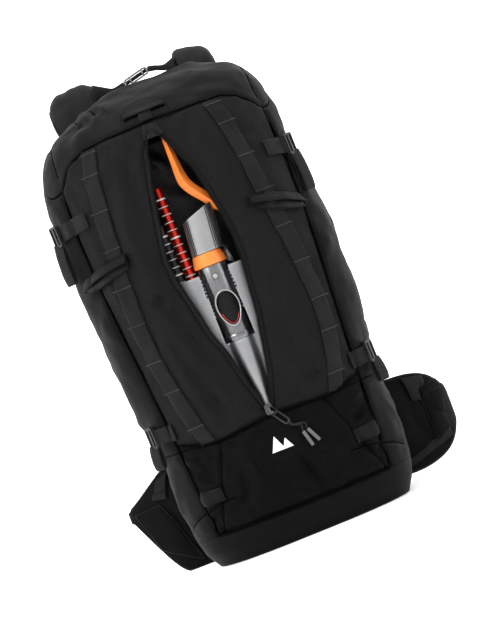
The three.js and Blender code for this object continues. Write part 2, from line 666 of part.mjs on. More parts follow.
function makeShovel() {
  const metal = finish('steel', 0.35, 0.9);
  const { x, y, radius, wall, low, high } = SOCKET;
  const bent = (width, depth) => {
    const points = [];
    for (let i = -4; i <= 4; i += 1) points.push([(width * i) / 4, BLADE.y + (depth * i * i) / 16]);
    return points;
  };
  const rings = BLADE_ROWS.map(([z, half, depth]) => {
    const front = bent(half, depth);
    const back = front.map(([px, py]) => [px, py + BLADE.thick]).reverse();
    return [...front, ...back].map(([px, py]) => [px + x, py, z]);
  });
  const ridgeRows = [[low - 0.4, radius - 0.5, 0], [200, 11, -5], [120, 3.5, -9]];
  const ridge = loft(ridgeRows.map(([z, r, dy]) => circle(r, 16).map(([a, b]) => [x + a, y + dy + b, z])));
  const notch = box(x - radius - 0.7, x + radius + 0.7, -140, -60, low, 345);
  add('shovel_blade', loft(rings, true).subtract(notch).add(ridge), metal);

  const tube = cylinder(radius, high - low, 24);
  tube.translate(x, y, (high + low) / 2);
  const bore = cylinder(radius - wall, high - low + 2, 24);
  bore.translate(x, y, (high + low) / 2);
  const window = SOCKET_WINDOW;
  const egg = prismXZ(circle(1, 14).map(([a, b]) => [
    x + window.dx + a * (window.half - window.narrowing * b), window.z + b * window.reach,
  ]), -140, y);
  const onButton = ([a, b]) => [a + x, b + SOCKET_BUTTON.z];
  const disc = (size, from, to) => prismXZ(circle(size, 14).map(onButton), from, to);
  const hollow = solid(tube).subtract(solid(bore));
  const socket = hollow.subtract(egg).subtract(disc(SOCKET_BUTTON.hole, -140, y));
  add('shovel_socket', socket, finish('dark_metal', 0.35, 0.9));
  const face = y - radius;
  const button = disc(SOCKET_BUTTON.radius, face - SOCKET_BUTTON.proud, face + SOCKET_BUTTON.deep);
  add('shovel_button', button, metal);

  const collar = cylinder(COLLAR.radius, COLLAR.height, 24);
  collar.translate(x, y, high + COLLAR.above);
  const collarBore = cylinder(COLLAR.bore, COLLAR.height * 2, 20);
  collarBore.translate(x, y, high + COLLAR.above);
  add('shovel_collar', solid(collar).subtract(solid(collarBore)), finish('orange', 0.5));

  const oval = (rx, ry) => circle(1, 24).map(([a, b]) => [a * rx, b * ry]);
  const shaft = (rx, ry, z0, z1) => loft([[z0, 0], [z1, SHAFT.lean]].map(([z, dx]) => (
    oval(rx, ry).map(([a, b]) => [SHAFT.x + dx + a, y + b, z])
  )));
  const outside = shaft(SHAFT.rx, SHAFT.ry, high + SHAFT.start, SHAFT.top);
  const inside = shaft(SHAFT.rx - SHAFT.wall, SHAFT.ry - SHAFT.wall, high + SHAFT.start - 4, SHAFT.top + 4);
  const whole = outside.subtract(inside);
  const slant = prismXZ([[-60, 390], [60, 424], [60, 500], [-60, 500]], -200, 0);
  add('shovel_shaft', whole.subtract(slant), metal);

  add('shovel_handle', prismXZ(HANDLE, ...HANDLE_DEPTH), finish('orange', 0.45));
}

function makeProbe() {
  for (const [name, x, top, colour] of PROBE_SECTIONS) {
    const rod = cylinder(PROBE.radius, top - PROBE.low, 12);
    rod.translate(x, PROBE.y, (top + PROBE.low) / 2);
    add(`probe_section_${name}`, solid(rod), finish(colour, 0.4));
  }
}

// ---------------------------------------------------------------- airbag system

function makeAirbagSystem() {
  const bag = loft(AIRBAG_ROWS.map(([z, share]) => (
    rounded(AIRBAG.width * share, AIRBAG.depth * share, 20).map(([a, b]) => [a, b + AIRBAG.y, z])
  )));
  add('airbag_folded', bag, finish('airbag', 0.8));

  const { x, z, radius, front, back, inlet, wall } = FAN;
  const deep = back - front;
  const profile = [
    [inlet, 0], [radius, 0], [radius, deep], [0, deep],
    [0, deep - wall], [radius - wall, deep - wall], [radius - wall, wall], [inlet, wall], [inlet, 0],
  ];
  const lathe = new THREE.LatheGeometry(profile.map((p) => new THREE.Vector2(...p)), 28);
  const drum = solid(lathe).translate([x, front, z]);
  const store = box(-82, x - radius + 1, 38, back, z - 45, z + 45);
  const onSwitch = ([a, b]) => [a + BATTERY_X, b + z];
  const disc = (size, from, to) => prismXZ(circle(size, 14).map(onSwitch), from, to);
  const socket = disc(6.8, 30, 43.5);
  const spout = box(x - 13, x + 13, front + 6, back - 6, z + radius - 1, z + radius + 22);
  add('inflator_housing', drum.add(store).add(spout).subtract(socket), finish('plastic', 0.5));
  add('inflator_button', disc(6, 35.5, 41), finish('orange', 0.5));

  const plate = new THREE.CylinderGeometry(radius - 6, radius - 6, 2, 24);
  const hub = new THREE.CylinderGeometry(9, 9, 26, 14);
  plate.translate(0, back - 7, 0);
  hub.translate(0, back - 19, 0);
  let wheel = solid(plate).add(solid(hub));
  for (let i = 0; i < FAN.blades; i += 1) {
    const blade = box(7, radius - 8, back - 30, back - 7.5, -1, 1);
    wheel = wheel.add(blade.rotate([0, (360 * i) / FAN.blades, 0]));
  }
  add('inflator_impeller', wheel.translate([x, 0, z]), finish('dark_metal', 0.4, 0.5));
}

makeShell();
makeInnerWalls();
makeDaisyChain('daisy_chain_left', DAISY_LEFT, -1);
makeDaisyChain('daisy_chain_right', DAISY_RIGHT, 1);
makeTopTrim();
makeToolFlaps();
makeCompressionStraps();
makeZipPull();
makeYoke();
makeShoulderStraps();
makeSternumStrap();
makeTriggerHandle();
makeBackPad();
makeHipBelt();
makeShovel();
makeProbe();
makeAirbagSystem();

export default group;
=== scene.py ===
"""An avalanche airbag backpack: its looks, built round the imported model.

Metres, in the model's own frame: +Z is up, the front faces -Y, the harness is on +Y, and the pack
stands on z = 0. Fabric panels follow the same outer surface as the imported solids.
"""
import math

import bmesh
import bpy
import numpy as np
from mathutils import Matrix, Vector, noise
from mathutils.bvhtree import BVHTree


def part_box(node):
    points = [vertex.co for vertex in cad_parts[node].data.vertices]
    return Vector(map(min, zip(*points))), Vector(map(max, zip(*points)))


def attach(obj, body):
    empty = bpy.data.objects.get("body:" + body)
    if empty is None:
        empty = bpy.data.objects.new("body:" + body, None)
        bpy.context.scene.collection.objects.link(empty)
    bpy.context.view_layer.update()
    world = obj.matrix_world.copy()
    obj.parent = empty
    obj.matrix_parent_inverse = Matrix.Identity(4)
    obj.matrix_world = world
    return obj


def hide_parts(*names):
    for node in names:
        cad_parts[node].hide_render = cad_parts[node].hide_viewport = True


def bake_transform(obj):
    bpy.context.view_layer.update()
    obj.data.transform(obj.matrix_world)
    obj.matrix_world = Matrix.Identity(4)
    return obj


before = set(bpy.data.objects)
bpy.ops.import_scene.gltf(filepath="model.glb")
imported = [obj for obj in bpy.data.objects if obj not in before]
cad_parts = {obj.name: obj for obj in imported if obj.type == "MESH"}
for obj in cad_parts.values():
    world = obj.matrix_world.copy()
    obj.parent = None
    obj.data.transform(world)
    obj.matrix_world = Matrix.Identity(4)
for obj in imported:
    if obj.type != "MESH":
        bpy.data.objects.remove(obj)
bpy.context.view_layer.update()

# ---------------------------------------------------------------- the pack's outer surface

HEIGHT = 0.588
MIDDLE_Y = 0.010
FRONT_ROUNDNESS = 2.8
BACK_ROUNDNESS = 5.0
# height, centre x, half width, front y, back y
SECTIONS = np.array([
    [0, 0, 121, -84, 80], [10, -1, 134, -98, 89], [40, 0, 142, -107, 94], [100, 0, 146, -110, 95],
    [150, 0, 142, -109, 95], [200, -1, 150.5, -110, 95], [250, 0, 156.5, -111, 95], [350, -1, 160.5, -111, 95],
    [450, -7, 156, -110, 95], [500, -5, 153.5, -104, 95], [535, -2, 144, -95, 94], [550, 1, 133, -87, 91],
    [560, 3, 122, -78, 88], [570, 8, 109, -64, 84], [578, 11, 88, -48, 78], [588, 12, 48, -16, 58],
]) / 1000
LID_HINGE_Y = 0.088
LID_HINGE_Z = 0.560
LID_FRONT = -0.095
# |x|, height of the lid's seam at y = LID_FRONT
LID_SEAM = np.array([
    [0, 533], [60, 531], [90, 528], [107, 520], [120, 507], [132, 486], [150, 470], [240, 440],
]) / 1000
BOTTOM_SEAM = 0.040
BACK_SEAM = 0.084
# height, |x| of the seam between front and side
SIDE_SEAM = np.array([
    [0, 110], [40, 112], [150, 118], [215, 122], [260, 125], [300, 128.5], [350, 132], [430, 135], [600, 128],
]) / 1000
# x, height of the front pocket's top seam
POCKET_SEAM = np.array([
    [-200, 162], [-118, 160], [-95, 150], [-70, 146], [0, 153], [70, 149], [90, 152], [118, 160], [200, 162],
]) / 1000
# height, left and right edge of the open front zip
ZIP = np.array([
    [158, -1, 5], [170, -4, 11], [200, -13, 21], [240, -22, 29], [270, -32, 35], [300, -37, 38],
    [340, -46, 43], [370, -48, 44], [400, -43, 40], [460, -31, 30], [500, -21, 12], [521, -7, -3],
]) / 1000
# height, x of the line down the middle of the zip
ZIP_CENTRE = np.array([[100, 3], [158, 2], [521, -5], [600, -7]]) / 1000
# height, inner edge of each daisy chain
DAISY_LEFT = np.array([
    [148, -70], [170, -77], [220, -87], [262, -94], [310, -97], [355, -95], [400, -91], [450, -87],
    [500, -82], [528, -74],
]) / 1000
DAISY_RIGHT = np.array([
    [150, 75], [175, 83], [222, 95], [262, 97], [312, 95], [360, 90], [405, 84], [455, 80], [500, 73], [528, 65],
]) / 1000
DAISY_WIDTH = 0.018
BARTACKS = (0.172, 0.222, 0.262, 0.311, 0.358, 0.406, 0.453, 0.498, 0.524)
WAIST_SEAM = 0.150  # height of the seam round each side
# top and bottom of the seam down each side of the front pocket, x and height
POCKET_SIDES = (((-0.066, 0.147), (-0.105, 0.040)), ((0.068, 0.149), (0.107, 0.042)))

CLOTH = 0.0024  # thickness of the panels shown
SEAM_DIP = 0.0028  # how deep a panel's edge tucks into its seam
SMOOTHING = np.linspace(-0.011, 0.011, 7)


def smooth(table, at, column):
    """Value of a column at `at`, between the rows, with the corners at the rows rounded."""
    at = np.asarray(at, float)
    return np.mean([np.interp(at + d, table[:, 0], table[:, column]) for d in SMOOTHING], axis=0)


def side_seam(z):
    """|x| of the seam between front and side."""
    return np.interp(z, SIDE_SEAM[:, 0], SIDE_SEAM[:, 1])


def low_side_seam(y):
    """Height of the slanted seam low on each side."""
    return 0.072 + 0.32 * (-0.085 - y)


def pocket_seam(x):
    """Height of the front pocket's top seam."""
    return np.interp(x, POCKET_SEAM[:, 0], POCKET_SEAM[:, 1])


def lid_seam_in_front(x):
    """Height of the lid's seam across the front."""
    return np.interp(np.abs(x), LID_SEAM[:, 0], LID_SEAM[:, 1])


def lid_corner(z):
    """|x| of the seam down each front corner of the lid."""
    return 0.128 + (0.545 - z) * 0.10


def lid_seam(x, y):
    """Height of the lid's seam."""
    front = lid_seam_in_front(x)
    share = np.maximum(0, (LID_HINGE_Y - y) / (LID_HINGE_Y - LID_FRONT))
    return LID_HINGE_Z + (front - LID_HINGE_Z) * share


def surface(z, turn):
    """Points `turn` radians round the pack at height z: 0 is +X, and negative turns are in front."""
    z, turn = np.broadcast_arrays(np.asarray(z, float), np.asarray(turn, float))
    centre, half, front, back = (smooth(SECTIONS, z, k) for k in (1, 2, 3, 4))
    c, n = np.cos(turn), np.sin(turn)
    power = np.where(n < 0, 2 / FRONT_ROUNDNESS, 2 / BACK_ROUNDNESS)
    depth = np.where(n < 0, MIDDLE_Y - front, back - MIDDLE_Y)
    x = centre + half * np.sign(c) * np.abs(c) ** power
    y = MIDDLE_Y + depth * np.sign(n) * np.abs(n) ** power
    return np.stack([x, y, z], axis=-1)


def turn_at_x(x, z):
    """The turn, on the front, at which the surface has this x."""
    centre, half = smooth(SECTIONS, z, 1), smooth(SECTIONS, z, 2)
    across = np.clip((x - centre) / half, -1, 1)
    return -np.arccos(np.sign(across) * np.abs(across) ** (FRONT_ROUNDNESS / 2))


def turn_at_back_seam(z, side):
    """The turn of the seam between a side panel and the back panel."""
    back = smooth(SECTIONS, z, 4)
    share = np.clip((BACK_SEAM - MIDDLE_Y) / (back - MIDDLE_Y), 0, 1)
    right = np.arcsin(share ** (BACK_ROUNDNESS / 2))
    return right if side > 0 else -math.pi - right


def front_y(x, z):
    """The y of the front's surface at x and z."""
    return surface(z, turn_at_x(x, z))[..., 1]


def on_front(x, z, out=0.0):
    """Points on the front at x and z, moved out along the surface's normal."""
    x, z = np.broadcast_arrays(np.asarray(x, float), np.asarray(z, float))
    step = 0.002
    y = front_y(x, z)
    slope_x = (front_y(x + step, z) - front_y(x - step, z)) / (2 * step)
    slope_z = (front_y(x, z + step) - front_y(x, z - step)) / (2 * step)
    normal = np.stack([slope_x, -np.ones_like(y), slope_z], axis=-1)
    normal /= np.linalg.norm(normal, axis=-1, keepdims=True)
    return np.stack([x, y, z], axis=-1) + normal * np.asarray(out)[..., None]


# ---------------------------------------------------------------- meshes


def mesh_object(name, points, faces, uvs=None):
    """An object with a smooth mesh; uvs, where given, are one pair per vertex, in metres."""
    data = bpy.data.meshes.new(name)
    data.from_pydata([tuple(p) for p in points], [], faces)
    data.validate()
    if uvs is not None:
        layer = data.uv_layers.new(name="cloth")
        corner = np.empty(len(data.loops), np.int32)
        data.loops.foreach_get("vertex_index", corner)
        layer.data.foreach_set("uv", np.asarray(uvs, np.float32)[corner].ravel())
    piece = bpy.data.objects.new(name, data)
    bpy.context.scene.collection.objects.link(piece)
    data.polygons.foreach_set("use_smooth", [True] * len(data.polygons))
    return piece


def normals_of(grid):
    """Unit normals of a grid of points."""
    across = np.gradient(grid, axis=1)
    up = np.gradient(grid, axis=0)
    normal = np.cross(across, up)
    return normal / np.maximum(np.linalg.norm(normal, axis=-1, keepdims=True), 1e-12)


def metric_uv(grid):
    """Distances along the columns and rows of a grid, in metres."""
    along = np.linalg.norm(np.diff(grid, axis=1), axis=-1).cumsum(axis=1)
    up = np.linalg.norm(np.diff(grid, axis=0), axis=-1).cumsum(axis=0)
    u = np.concatenate([np.zeros((grid.shape[0], 1)), along], axis=1)
    v = np.concatenate([np.zeros((1, grid.shape[1])), up], axis=0)
    u -= u.mean(axis=1, keepdims=True)
    return np.stack([u, v], axis=-1)


def ring_normals(grid):
    """The normals of a grid whose last column joins its first."""
    wrapped = np.concatenate([grid[:, -1:], grid, grid[:, :1]], axis=1)
    return normals_of(wrapped)[:, 1:-1]


def slab(name, grid, thick, closed_across=False):
    """A closed sheet of this thickness whose outer face is the grid, which faces out."""
    rows, cols = grid.shape[:2]
    normal = ring_normals(grid) if closed_across else normals_of(grid)
    uv = metric_uv(grid).reshape(-1, 2)
    inner = grid - normal * thick
    points = np.concatenate([grid.reshape(-1, 3), inner.reshape(-1, 3)])
    count = rows * cols
    faces = []
    last = cols if closed_across else cols - 1
    for r in range(rows - 1):
        for c in range(last):
            d = (c + 1) % cols
            a, b, e, f = r * cols + c, r * cols + d, (r + 1) * cols + d, (r + 1) * cols + c
            faces.append((a, b, e, f))
            faces.append((count + f, count + e, count + b, count + a))
    for c in range(last):
        d = (c + 1) % cols
        top = (rows - 1) * cols
        faces.append((d, c, count + c, count + d))
        faces.append((top + c, top + d, count + top + d, count + top + c))
    if not closed_across:
        for r in range(rows - 1):
            a, b = r * cols, (r + 1) * cols
            faces.append((a, b, count + b, count + a))
            a, b = a + cols - 1, b + cols - 1
            faces.append((b, a, count + a, count + b))
    return mesh_object(name, points, faces, np.concatenate([uv, uv]))


def ring_sweep(rings, sides, closed=False):
    """The faces between rings of this many points each."""
    faces = []
    for i in range(rings if closed else rings - 1):
        j = (i + 1) % rings
        for k in range(sides):
            m = (k + 1) % sides
            faces.append((i * sides + k, i * sides + m, j * sides + m, j * sides + k))
    return faces


def tube(name, line, radius, sides=8, closed=False, flat=1.0, side_way=None):
    """A round or flattened tube along a list of points."""
    line = [Vector(p) for p in line]
    count = len(line)
    points = []
    previous = side_way
    for i, p in enumerate(line):
        ahead = line[(i + 1) % count] if closed else line[min(i + 1, count - 1)]
        behind = line[i - 1] if closed or i else line[0]
        way = (ahead - behind).normalized()
        side = Vector(previous) if previous is not None else way.orthogonal()
        side = (side - way * side.dot(way)).normalized()
        previous = side
        other = way.cross(side)
        r = radius[i] if hasattr(radius, "__len__") else radius
        for k in range(sides):
            a = 2 * math.pi * k / sides
            points.append(p + side * (r * math.cos(a)) + other * (r * flat * math.sin(a)))
    faces = ring_sweep(count, sides, closed)
    if not closed:
        faces.append(tuple(range(sides))[::-1])
        faces.append(tuple((count - 1) * sides + k for k in range(sides)))
    return mesh_object(name, points, faces)


def joined(name, pieces):
    """One object made of several."""
    with bpy.context.temp_override(
        active_object=pieces[0], selected_editable_objects=pieces, object=pieces[0], selected_objects=pieces
    ):
        bpy.ops.object.join()
    pieces[0].name = name
    pieces[0].data.name = name
    return pieces[0]


def box_mesh(name, size, place, bevel=0.0, segments=2):
    """A box with rounded edges."""
    shape = bmesh.new()
    bmesh.ops.create_cube(shape, size=1.0)
    bmesh.ops.scale(shape, vec=Vector(size), verts=shape.verts)
    if bevel:
        bmesh.ops.bevel(
            shape, geom=list(shape.edges), offset=bevel, segments=segments, profile=0.5, affect="EDGES",
            clamp_overlap=True,
        )
    bmesh.ops.transform(shape, matrix=Matrix.Translation(Vector(place)), verts=shape.verts)
    data = bpy.data.meshes.new(name)
    shape.to_mesh(data)
    shape.free()
    piece = bpy.data.objects.new(name, data)
    bpy.context.scene.collection.objects.link(piece)
    data.polygons.foreach_set("use_smooth", [True] * len(data.polygons))
    return piece


def refined(name, node, body, bevel, finish, segments=2):
    """A CAD node's own shape with its edges rounded; it stands for the node."""
    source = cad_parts[node]
    piece = bpy.data.objects.new(name, source.data.copy())
    bpy.context.scene.collection.objects.link(piece)
    shape = bmesh.new()
    shape.from_mesh(piece.data)
    bmesh.ops.remove_doubles(shape, verts=shape.verts, dist=1e-6)
    bmesh.ops.dissolve_limit(shape, angle_limit=math.radians(1), verts=shape.verts, edges=shape.edges)
    sharp = [e for e in shape.edges if e.is_manifold and e.calc_face_angle(0) > math.radians(32)]
    bmesh.ops.bevel(
        shape, geom=sharp, offset=bevel, segments=segments, profile=0.6, affect="EDGES", clamp_overlap=True
    )
    bmesh.ops.triangulate(shape, faces=[f for f in shape.faces if len(f.verts) > 4])
    shape.to_mesh(piece.data)
    shape.free()
    piece.data.materials.clear()
    piece.data.materials.append(finish)
    piece.data.polygons.foreach_set("use_smooth", [True] * len(piece.data.polygons))
    smooth_by_angle(piece)
    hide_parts(node)
    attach(piece, body)
    return piece


def smooth_by_angle(piece, limit=math.radians(40)):
    """Sharp edges stay crisp in the shading, and the rest is smooth."""
    shape = bmesh.new()
    shape.from_mesh(piece.data)
    for edge in shape.edges:
        edge.smooth = not edge.is_manifold or edge.calc_face_angle(0) < limit
    shape.to_mesh(piece.data)
    shape.free()


def face_out(piece):
    """Turns every face of a closed piece outwards."""
    shape = bmesh.new()
    shape.from_mesh(piece.data)
    bmesh.ops.recalc_face_normals(shape, faces=shape.faces)
    shape.to_mesh(piece.data)
    shape.free()


def close_ends(piece):
    """Fills the open ends of a piece."""
    shape = bmesh.new()
    shape.from_mesh(piece.data)
    bmesh.ops.holes_fill(shape, edges=[e for e in shape.edges if e.is_boundary])
    shape.to_mesh(piece.data)
    shape.free()


def finished(piece, finish, nodes):
    """Gives a new piece its material and the CAD nodes that it stands for."""
    piece.data.materials.clear()
    piece.data.materials.append(finish)
    if nodes:
        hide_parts(*nodes)


def settle(piece, body, finish, slot, *nodes):
    """Finishes a piece that moves with one body."""
    finished(piece, finish, nodes)
    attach(piece, body)
    return piece


def settle_bending(piece, bodies, span, finish, slot, *nodes):
    """Finishes a piece and bakes its place into its mesh; it is attached to no body, and the bodies and the span
    are not used.
    """
    finished(piece, finish, nodes)
    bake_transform(piece)
    return piece


# ---------------------------------------------------------------- materials


class Graph:
    """A material's node graph round one Principled shader."""

    def __init__(self, name):
        self.material = bpy.data.materials.new(name)
        self.material.use_nodes = True
        self.tree = self.material.node_tree
        self.shader = self.tree.nodes["Principled BSDF"]

    def node(self, kind, **values):
        """A new node with these properties or inputs."""
        made = self.tree.nodes.new(kind)
        for key, value in values.items():
            if hasattr(made, key):
                setattr(made, key, value)
            else:
                self.put(value, made.inputs[key.replace("_", " ")])
        return made

    def put(self, value, socket):
        """A socket's value, or the link that feeds it."""
        if isinstance(value, bpy.types.NodeSocket):
            self.tree.links.new(value, socket)
        else:
            socket.default_value = value

    def math(self, operation, a, b=0.0):
        """A sum, product or other operation on two values."""
        made = self.tree.nodes.new("ShaderNodeMath")
        made.operation = operation
        self.put(a, made.inputs[0])
        self.put(b, made.inputs[1])
        return made.outputs[0]

    def ramp(self, value, low, high, out_low=0.0, out_high=1.0):
        """A value moved from one range to another."""
        made = self.tree.nodes.new("ShaderNodeMapRange")
        self.put(value, made.inputs["Value"])
        made.inputs["From Min"].default_value = low
        made.inputs["From Max"].default_value = high
        made.inputs["To Min"].default_value = out_low
        made.inputs["To Max"].default_value = out_high
        return made.outputs["Result"]

    def mix(self, share, a, b):
        """A blend of two colours."""
        made = self.tree.nodes.new("ShaderNodeMix")
        made.data_type = "RGBA"
        self.put(share, made.inputs["Factor"])
        self.put(a, made.inputs["A"])
        self.put(b, made.inputs["B"])
        return made.outputs["Result"]

    def place(self, kind="Object"):
        """Where on the piece the shader is."""
        return self.node("ShaderNodeTexCoord").outputs[kind]

    def noise(self, where, scale, detail=3.0, rough=0.55):
        """A noise value."""
        made = self.node("ShaderNodeTexNoise", Scale=scale, Detail=detail, Roughness=rough)
        self.put(where, made.inputs["Vector"])
        return made.outputs["Fac"]

    def bands(self, where, pitch, direction):
        """Ridges this far apart along an axis of the coordinates."""
        made = self.node("ShaderNodeTexWave", wave_type="BANDS", bands_direction=direction)
        made.inputs["Scale"].default_value = 2 * math.pi / (20 * pitch)
        self.put(where, made.inputs["Vector"])
        return made.outputs["Fac"]

    def bump(self, height, distance, strength=1.0, under=None):
        """A normal bent by a height."""
        made = self.node("ShaderNodeBump", Strength=strength, Distance=distance)
        self.put(height, made.inputs["Height"])
        if under is not None:
            self.put(under, made.inputs["Normal"])
        return made.outputs["Normal"]

    def worn(self, colour, worn_colour, start=0.52, end=0.62, share=0.6):
        """The colour, lighter along the surface's sharp outer edges."""
        edges = self.node("ShaderNodeNewGeometry").outputs["Pointiness"]
        return self.mix(self.math("MULTIPLY", self.ramp(edges, start, end), share), colour, worn_colour)

    def done(self, colour, roughness, normal=None, **fixed):
        """Connects the shader and returns the material."""
        self.put(colour, self.shader.inputs["Base Color"])
        self.put(roughness, self.shader.inputs["Roughness"])
        if normal is not None:
            self.put(normal, self.shader.inputs["Normal"])
        for key, value in fixed.items():
            self.shader.inputs[key.replace("_", " ")].default_value = value
        return self.material


def grey(value):
    """A very slightly cold grey."""
    return (value, value, value * 1.03, 1.0)


def tinted(colour, times, more=0.0):
    """The colour made lighter or darker."""
    return tuple(min(1.0, c * times + more) for c in colour[:3]) + (1.0,)


def woven(
    name, tone, roughness=0.75, pitch=0.0007, height=0.00007, sheen=0.25, spread=0.22, coords="UV", level=0.5
):
    """Plain-woven nylon: crossing threads, cloudy tone, and lighter worn folds."""
    g = Graph(name)
    flat, solid = g.place(coords), g.place("Object")
    warp, weft = g.bands(flat, pitch, "X"), g.bands(flat, pitch * 1.15, "Y")
    weave = g.math("MAXIMUM", warp, weft)
    cloud = g.noise(solid, 14.0, 4.0)
    fuzz = g.noise(solid, 900.0, 2.0)
    shade = g.mix(g.ramp(cloud, 0.3, 0.7), grey(tone * (1 - spread)), grey(tone * (1 + spread)))
    shade = g.mix(g.math("MULTIPLY", g.math("SUBTRACT", 1.0, weave), 0.45), shade, grey(tone * 0.35))
    shade = g.worn(shade, grey(tone * 2.0), 0.54, 0.68, 0.35)
    normal = g.bump(weave, height, 0.8)
    normal = g.bump(fuzz, 0.00006, 0.5, normal)
    normal = g.bump(g.noise(solid, 60.0, 3.0), 0.0006, 0.35, normal)
    rough = g.ramp(cloud, 0.25, 0.75, roughness - 0.07, roughness + 0.07)
    return g.done(
        shade, rough, normal, Sheen_Weight=sheen, Sheen_Roughness=0.45, Specular_IOR_Level=level
    )


def webbing(name, tone, coords="UV"):
    """Flat webbing: ribs across its width, in a slight herringbone."""
    g = Graph(name)
    flat, solid = g.place(coords), g.place("Object")
    ribs = g.bands(flat, 0.0011, "Y")
    warp = g.bands(flat, 0.0016, "X")
    threads = g.math("ADD", g.math("MULTIPLY", ribs, 0.7), g.math("MULTIPLY", warp, 0.5))
    cloud = g.noise(solid, 30.0)
    shade = g.mix(g.ramp(threads, 0.1, 1.0), grey(tone * 0.5), grey(tone * 1.3))
    shade = g.mix(g.math("MULTIPLY", g.ramp(cloud, 0.35, 0.65), 0.3), shade, grey(tone * 1.7))
    shade = g.worn(shade, grey(tone * 2.4), 0.53, 0.65, 0.4)
    normal = g.bump(threads, 0.00016, 0.9)
    normal = g.bump(g.noise(solid, 700.0), 0.00006, 0.5, normal)
    rough = g.ramp(cloud, 0.3, 0.7, 0.55, 0.7)
    return g.done(
        shade, rough, normal, Sheen_Weight=0.01, Sheen_Roughness=0.4, Specular_IOR_Level=0.12
    )


def foam_knit(name, tone):
    """Spacer mesh over foam: small round cells."""
    g = Graph(name)
    solid = g.place("Object")
    cells = g.node("ShaderNodeTexVoronoi", Scale=420.0)
    g.put(solid, cells.inputs["Vector"])
    cells = cells.outputs["Distance"]
    cloud = g.noise(solid, 18.0, 4.0)
    shade = g.mix(g.ramp(cells, 0.05, 0.55), grey(tone * 0.35), grey(tone * 1.25))
    shade = g.mix(g.math("MULTIPLY", g.ramp(cloud, 0.35, 0.65), 0.35), shade, grey(tone * 1.6))
    shade = g.worn(shade, grey(tone * 2.2), 0.53, 0.66, 0.35)
    normal = g.bump(cells, 0.0005, 0.7)
    rough = g.ramp(cloud, 0.3, 0.7, 0.75, 0.9)
    return g.done(shade, rough, normal, Sheen_Weight=0.08, Sheen_Roughness=0.5, Specular_IOR_Level=0.3)


def moulded(name, colour, roughness=0.38, wear=2.2, **fixed):
    """Moulded nylon or acetal: a fine spark-eroded grain and rubbed edges."""
    g = Graph(name)
    solid = g.place("Object")
    grain = g.noise(solid, 1500.0, 2.0)
    cloud = g.noise(solid, 35.0, 4.0)
    shade = g.mix(g.ramp(cloud, 0.35, 0.65), tinted(colour, 0.82), colour)
    shade = g.worn(shade, tinted(colour, wear, 0.01), 0.51, 0.6, 0.45)
    normal = g.bump(grain, 0.00005, 0.25)
    return g.done(shade, g.ramp(cloud, 0.3, 0.7, roughness - 0.08, roughness + 0.1), normal, **fixed)


def metal(name, colour, roughness=0.3, lines="Z", wear=1.3):
    """Drawn or bead-blasted aluminium: fine lines along it, cloudy anodising, rubbed edges."""
    g = Graph(name)
    solid = g.place("Object")
    stretch = g.node("ShaderNodeMapping")
    stretch.inputs["Scale"].default_value = [1.0 if axis == lines else 60.0 for axis in "XYZ"]
    g.put(solid, stretch.inputs["Vector"])
    streak = g.noise(stretch.outputs["Vector"], 22.0, 4.0)
    cloud = g.noise(solid, 30.0, 4.0)
    shade = g.mix(g.ramp(cloud, 0.3, 0.7), tinted(colour, 0.84), colour)
    shade = g.worn(shade, tinted(colour, wear), 0.51, 0.58, 0.6)
    cloudy = g.ramp(cloud, 0.3, 0.7, roughness - 0.06, roughness + 0.06)
    rough = g.math("ADD", cloudy, g.ramp(streak, 0.3, 0.7, -0.05, 0.06))
    normal = g.bump(streak, 0.00003, 0.35)
    return g.done(shade, rough, normal, Metallic=1.0)


def plain(name, colour, roughness=0.6, grain=0.0001, scale=400.0, **fixed):
    """Thread, print and other small things: a little tonal noise and grain."""
    g = Graph(name)
    solid = g.place("Object")
    cloud = g.noise(solid, scale / 6, 3.0)
    normal = g.bump(g.noise(solid, scale, 2.0), grain, 0.5)
    shade = g.mix(g.ramp(cloud, 0.3, 0.7), tinted(colour, 0.78), colour)
    return g.done(shade, g.ramp(cloud, 0.3, 0.7, roughness - 0.06, roughness + 0.06), normal, **fixed)


MATT = woven("matt_nylon", 0.0046, 0.68, sheen=0.01, level=0.09, spread=0.3)
# The pocket's cloth is a darker tone than the front's; the darker tone paints in part of the shade on the low
# pocket.
POCKET = woven("pocket_nylon", 0.0021, 0.72, sheen=0.0, level=0.045, spread=0.3)
GLOSSY = woven("coated_nylon", 0.0027, 0.58, height=0.00004, sheen=0.0, spread=0.25, level=0.05)
LINING = woven("lining", 0.0018, 0.38, pitch=0.0005, sheen=0.0, level=0.18)
HIP_CLOTH = woven(
    "belt_nylon", 0.0020, 0.70, pitch=0.0009, height=0.0001, sheen=0.0, coords="Object", level=0.06
)
STRAP_CLOTH = woven(
    "strap_nylon", 0.0055, 0.68, pitch=0.0009, height=0.0001, sheen=0.02, coords="Object", level=0.14
)
WEBBING = webbing("webbing", 0.0046)
TAPE = webbing("zip_tape", 0.0019)
FLAP_WEB = webbing("flap_webbing", 0.0030)
KNIT = foam_knit("spacer_mesh", 0.02)
PLASTIC = moulded("black_acetal", (0.0042, 0.0042, 0.0045, 1), 0.42, 1.6, Specular_IOR_Level=0.22)
SHEET_PLASTIC = moulded("stiffener", (0.04, 0.04, 0.042, 1), 0.5)
RED_PLASTIC = moulded("red_handle", (0.42, 0.018, 0.014, 1), 0.4, 1.5)
ORANGE = moulded("orange_nylon", (0.82, 0.195, 0.022, 1), 0.5, 1.1)
CORD_END = moulded("cord_end", (0.075, 0.075, 0.077, 1), 0.45, 1.9)
SHAFT_METAL = metal("shaft_aluminium", (0.33, 0.33, 0.335, 1), 0.44)
SOCKET_METAL = metal("socket_aluminium", (0.17, 0.172, 0.176, 1), 0.30)
BLADE_METAL = metal("blade_aluminium", (0.31, 0.315, 0.325, 1), 0.40)
HOOK_METAL = metal("hook_steel", (0.20, 0.20, 0.205, 1), 0.36, "X")
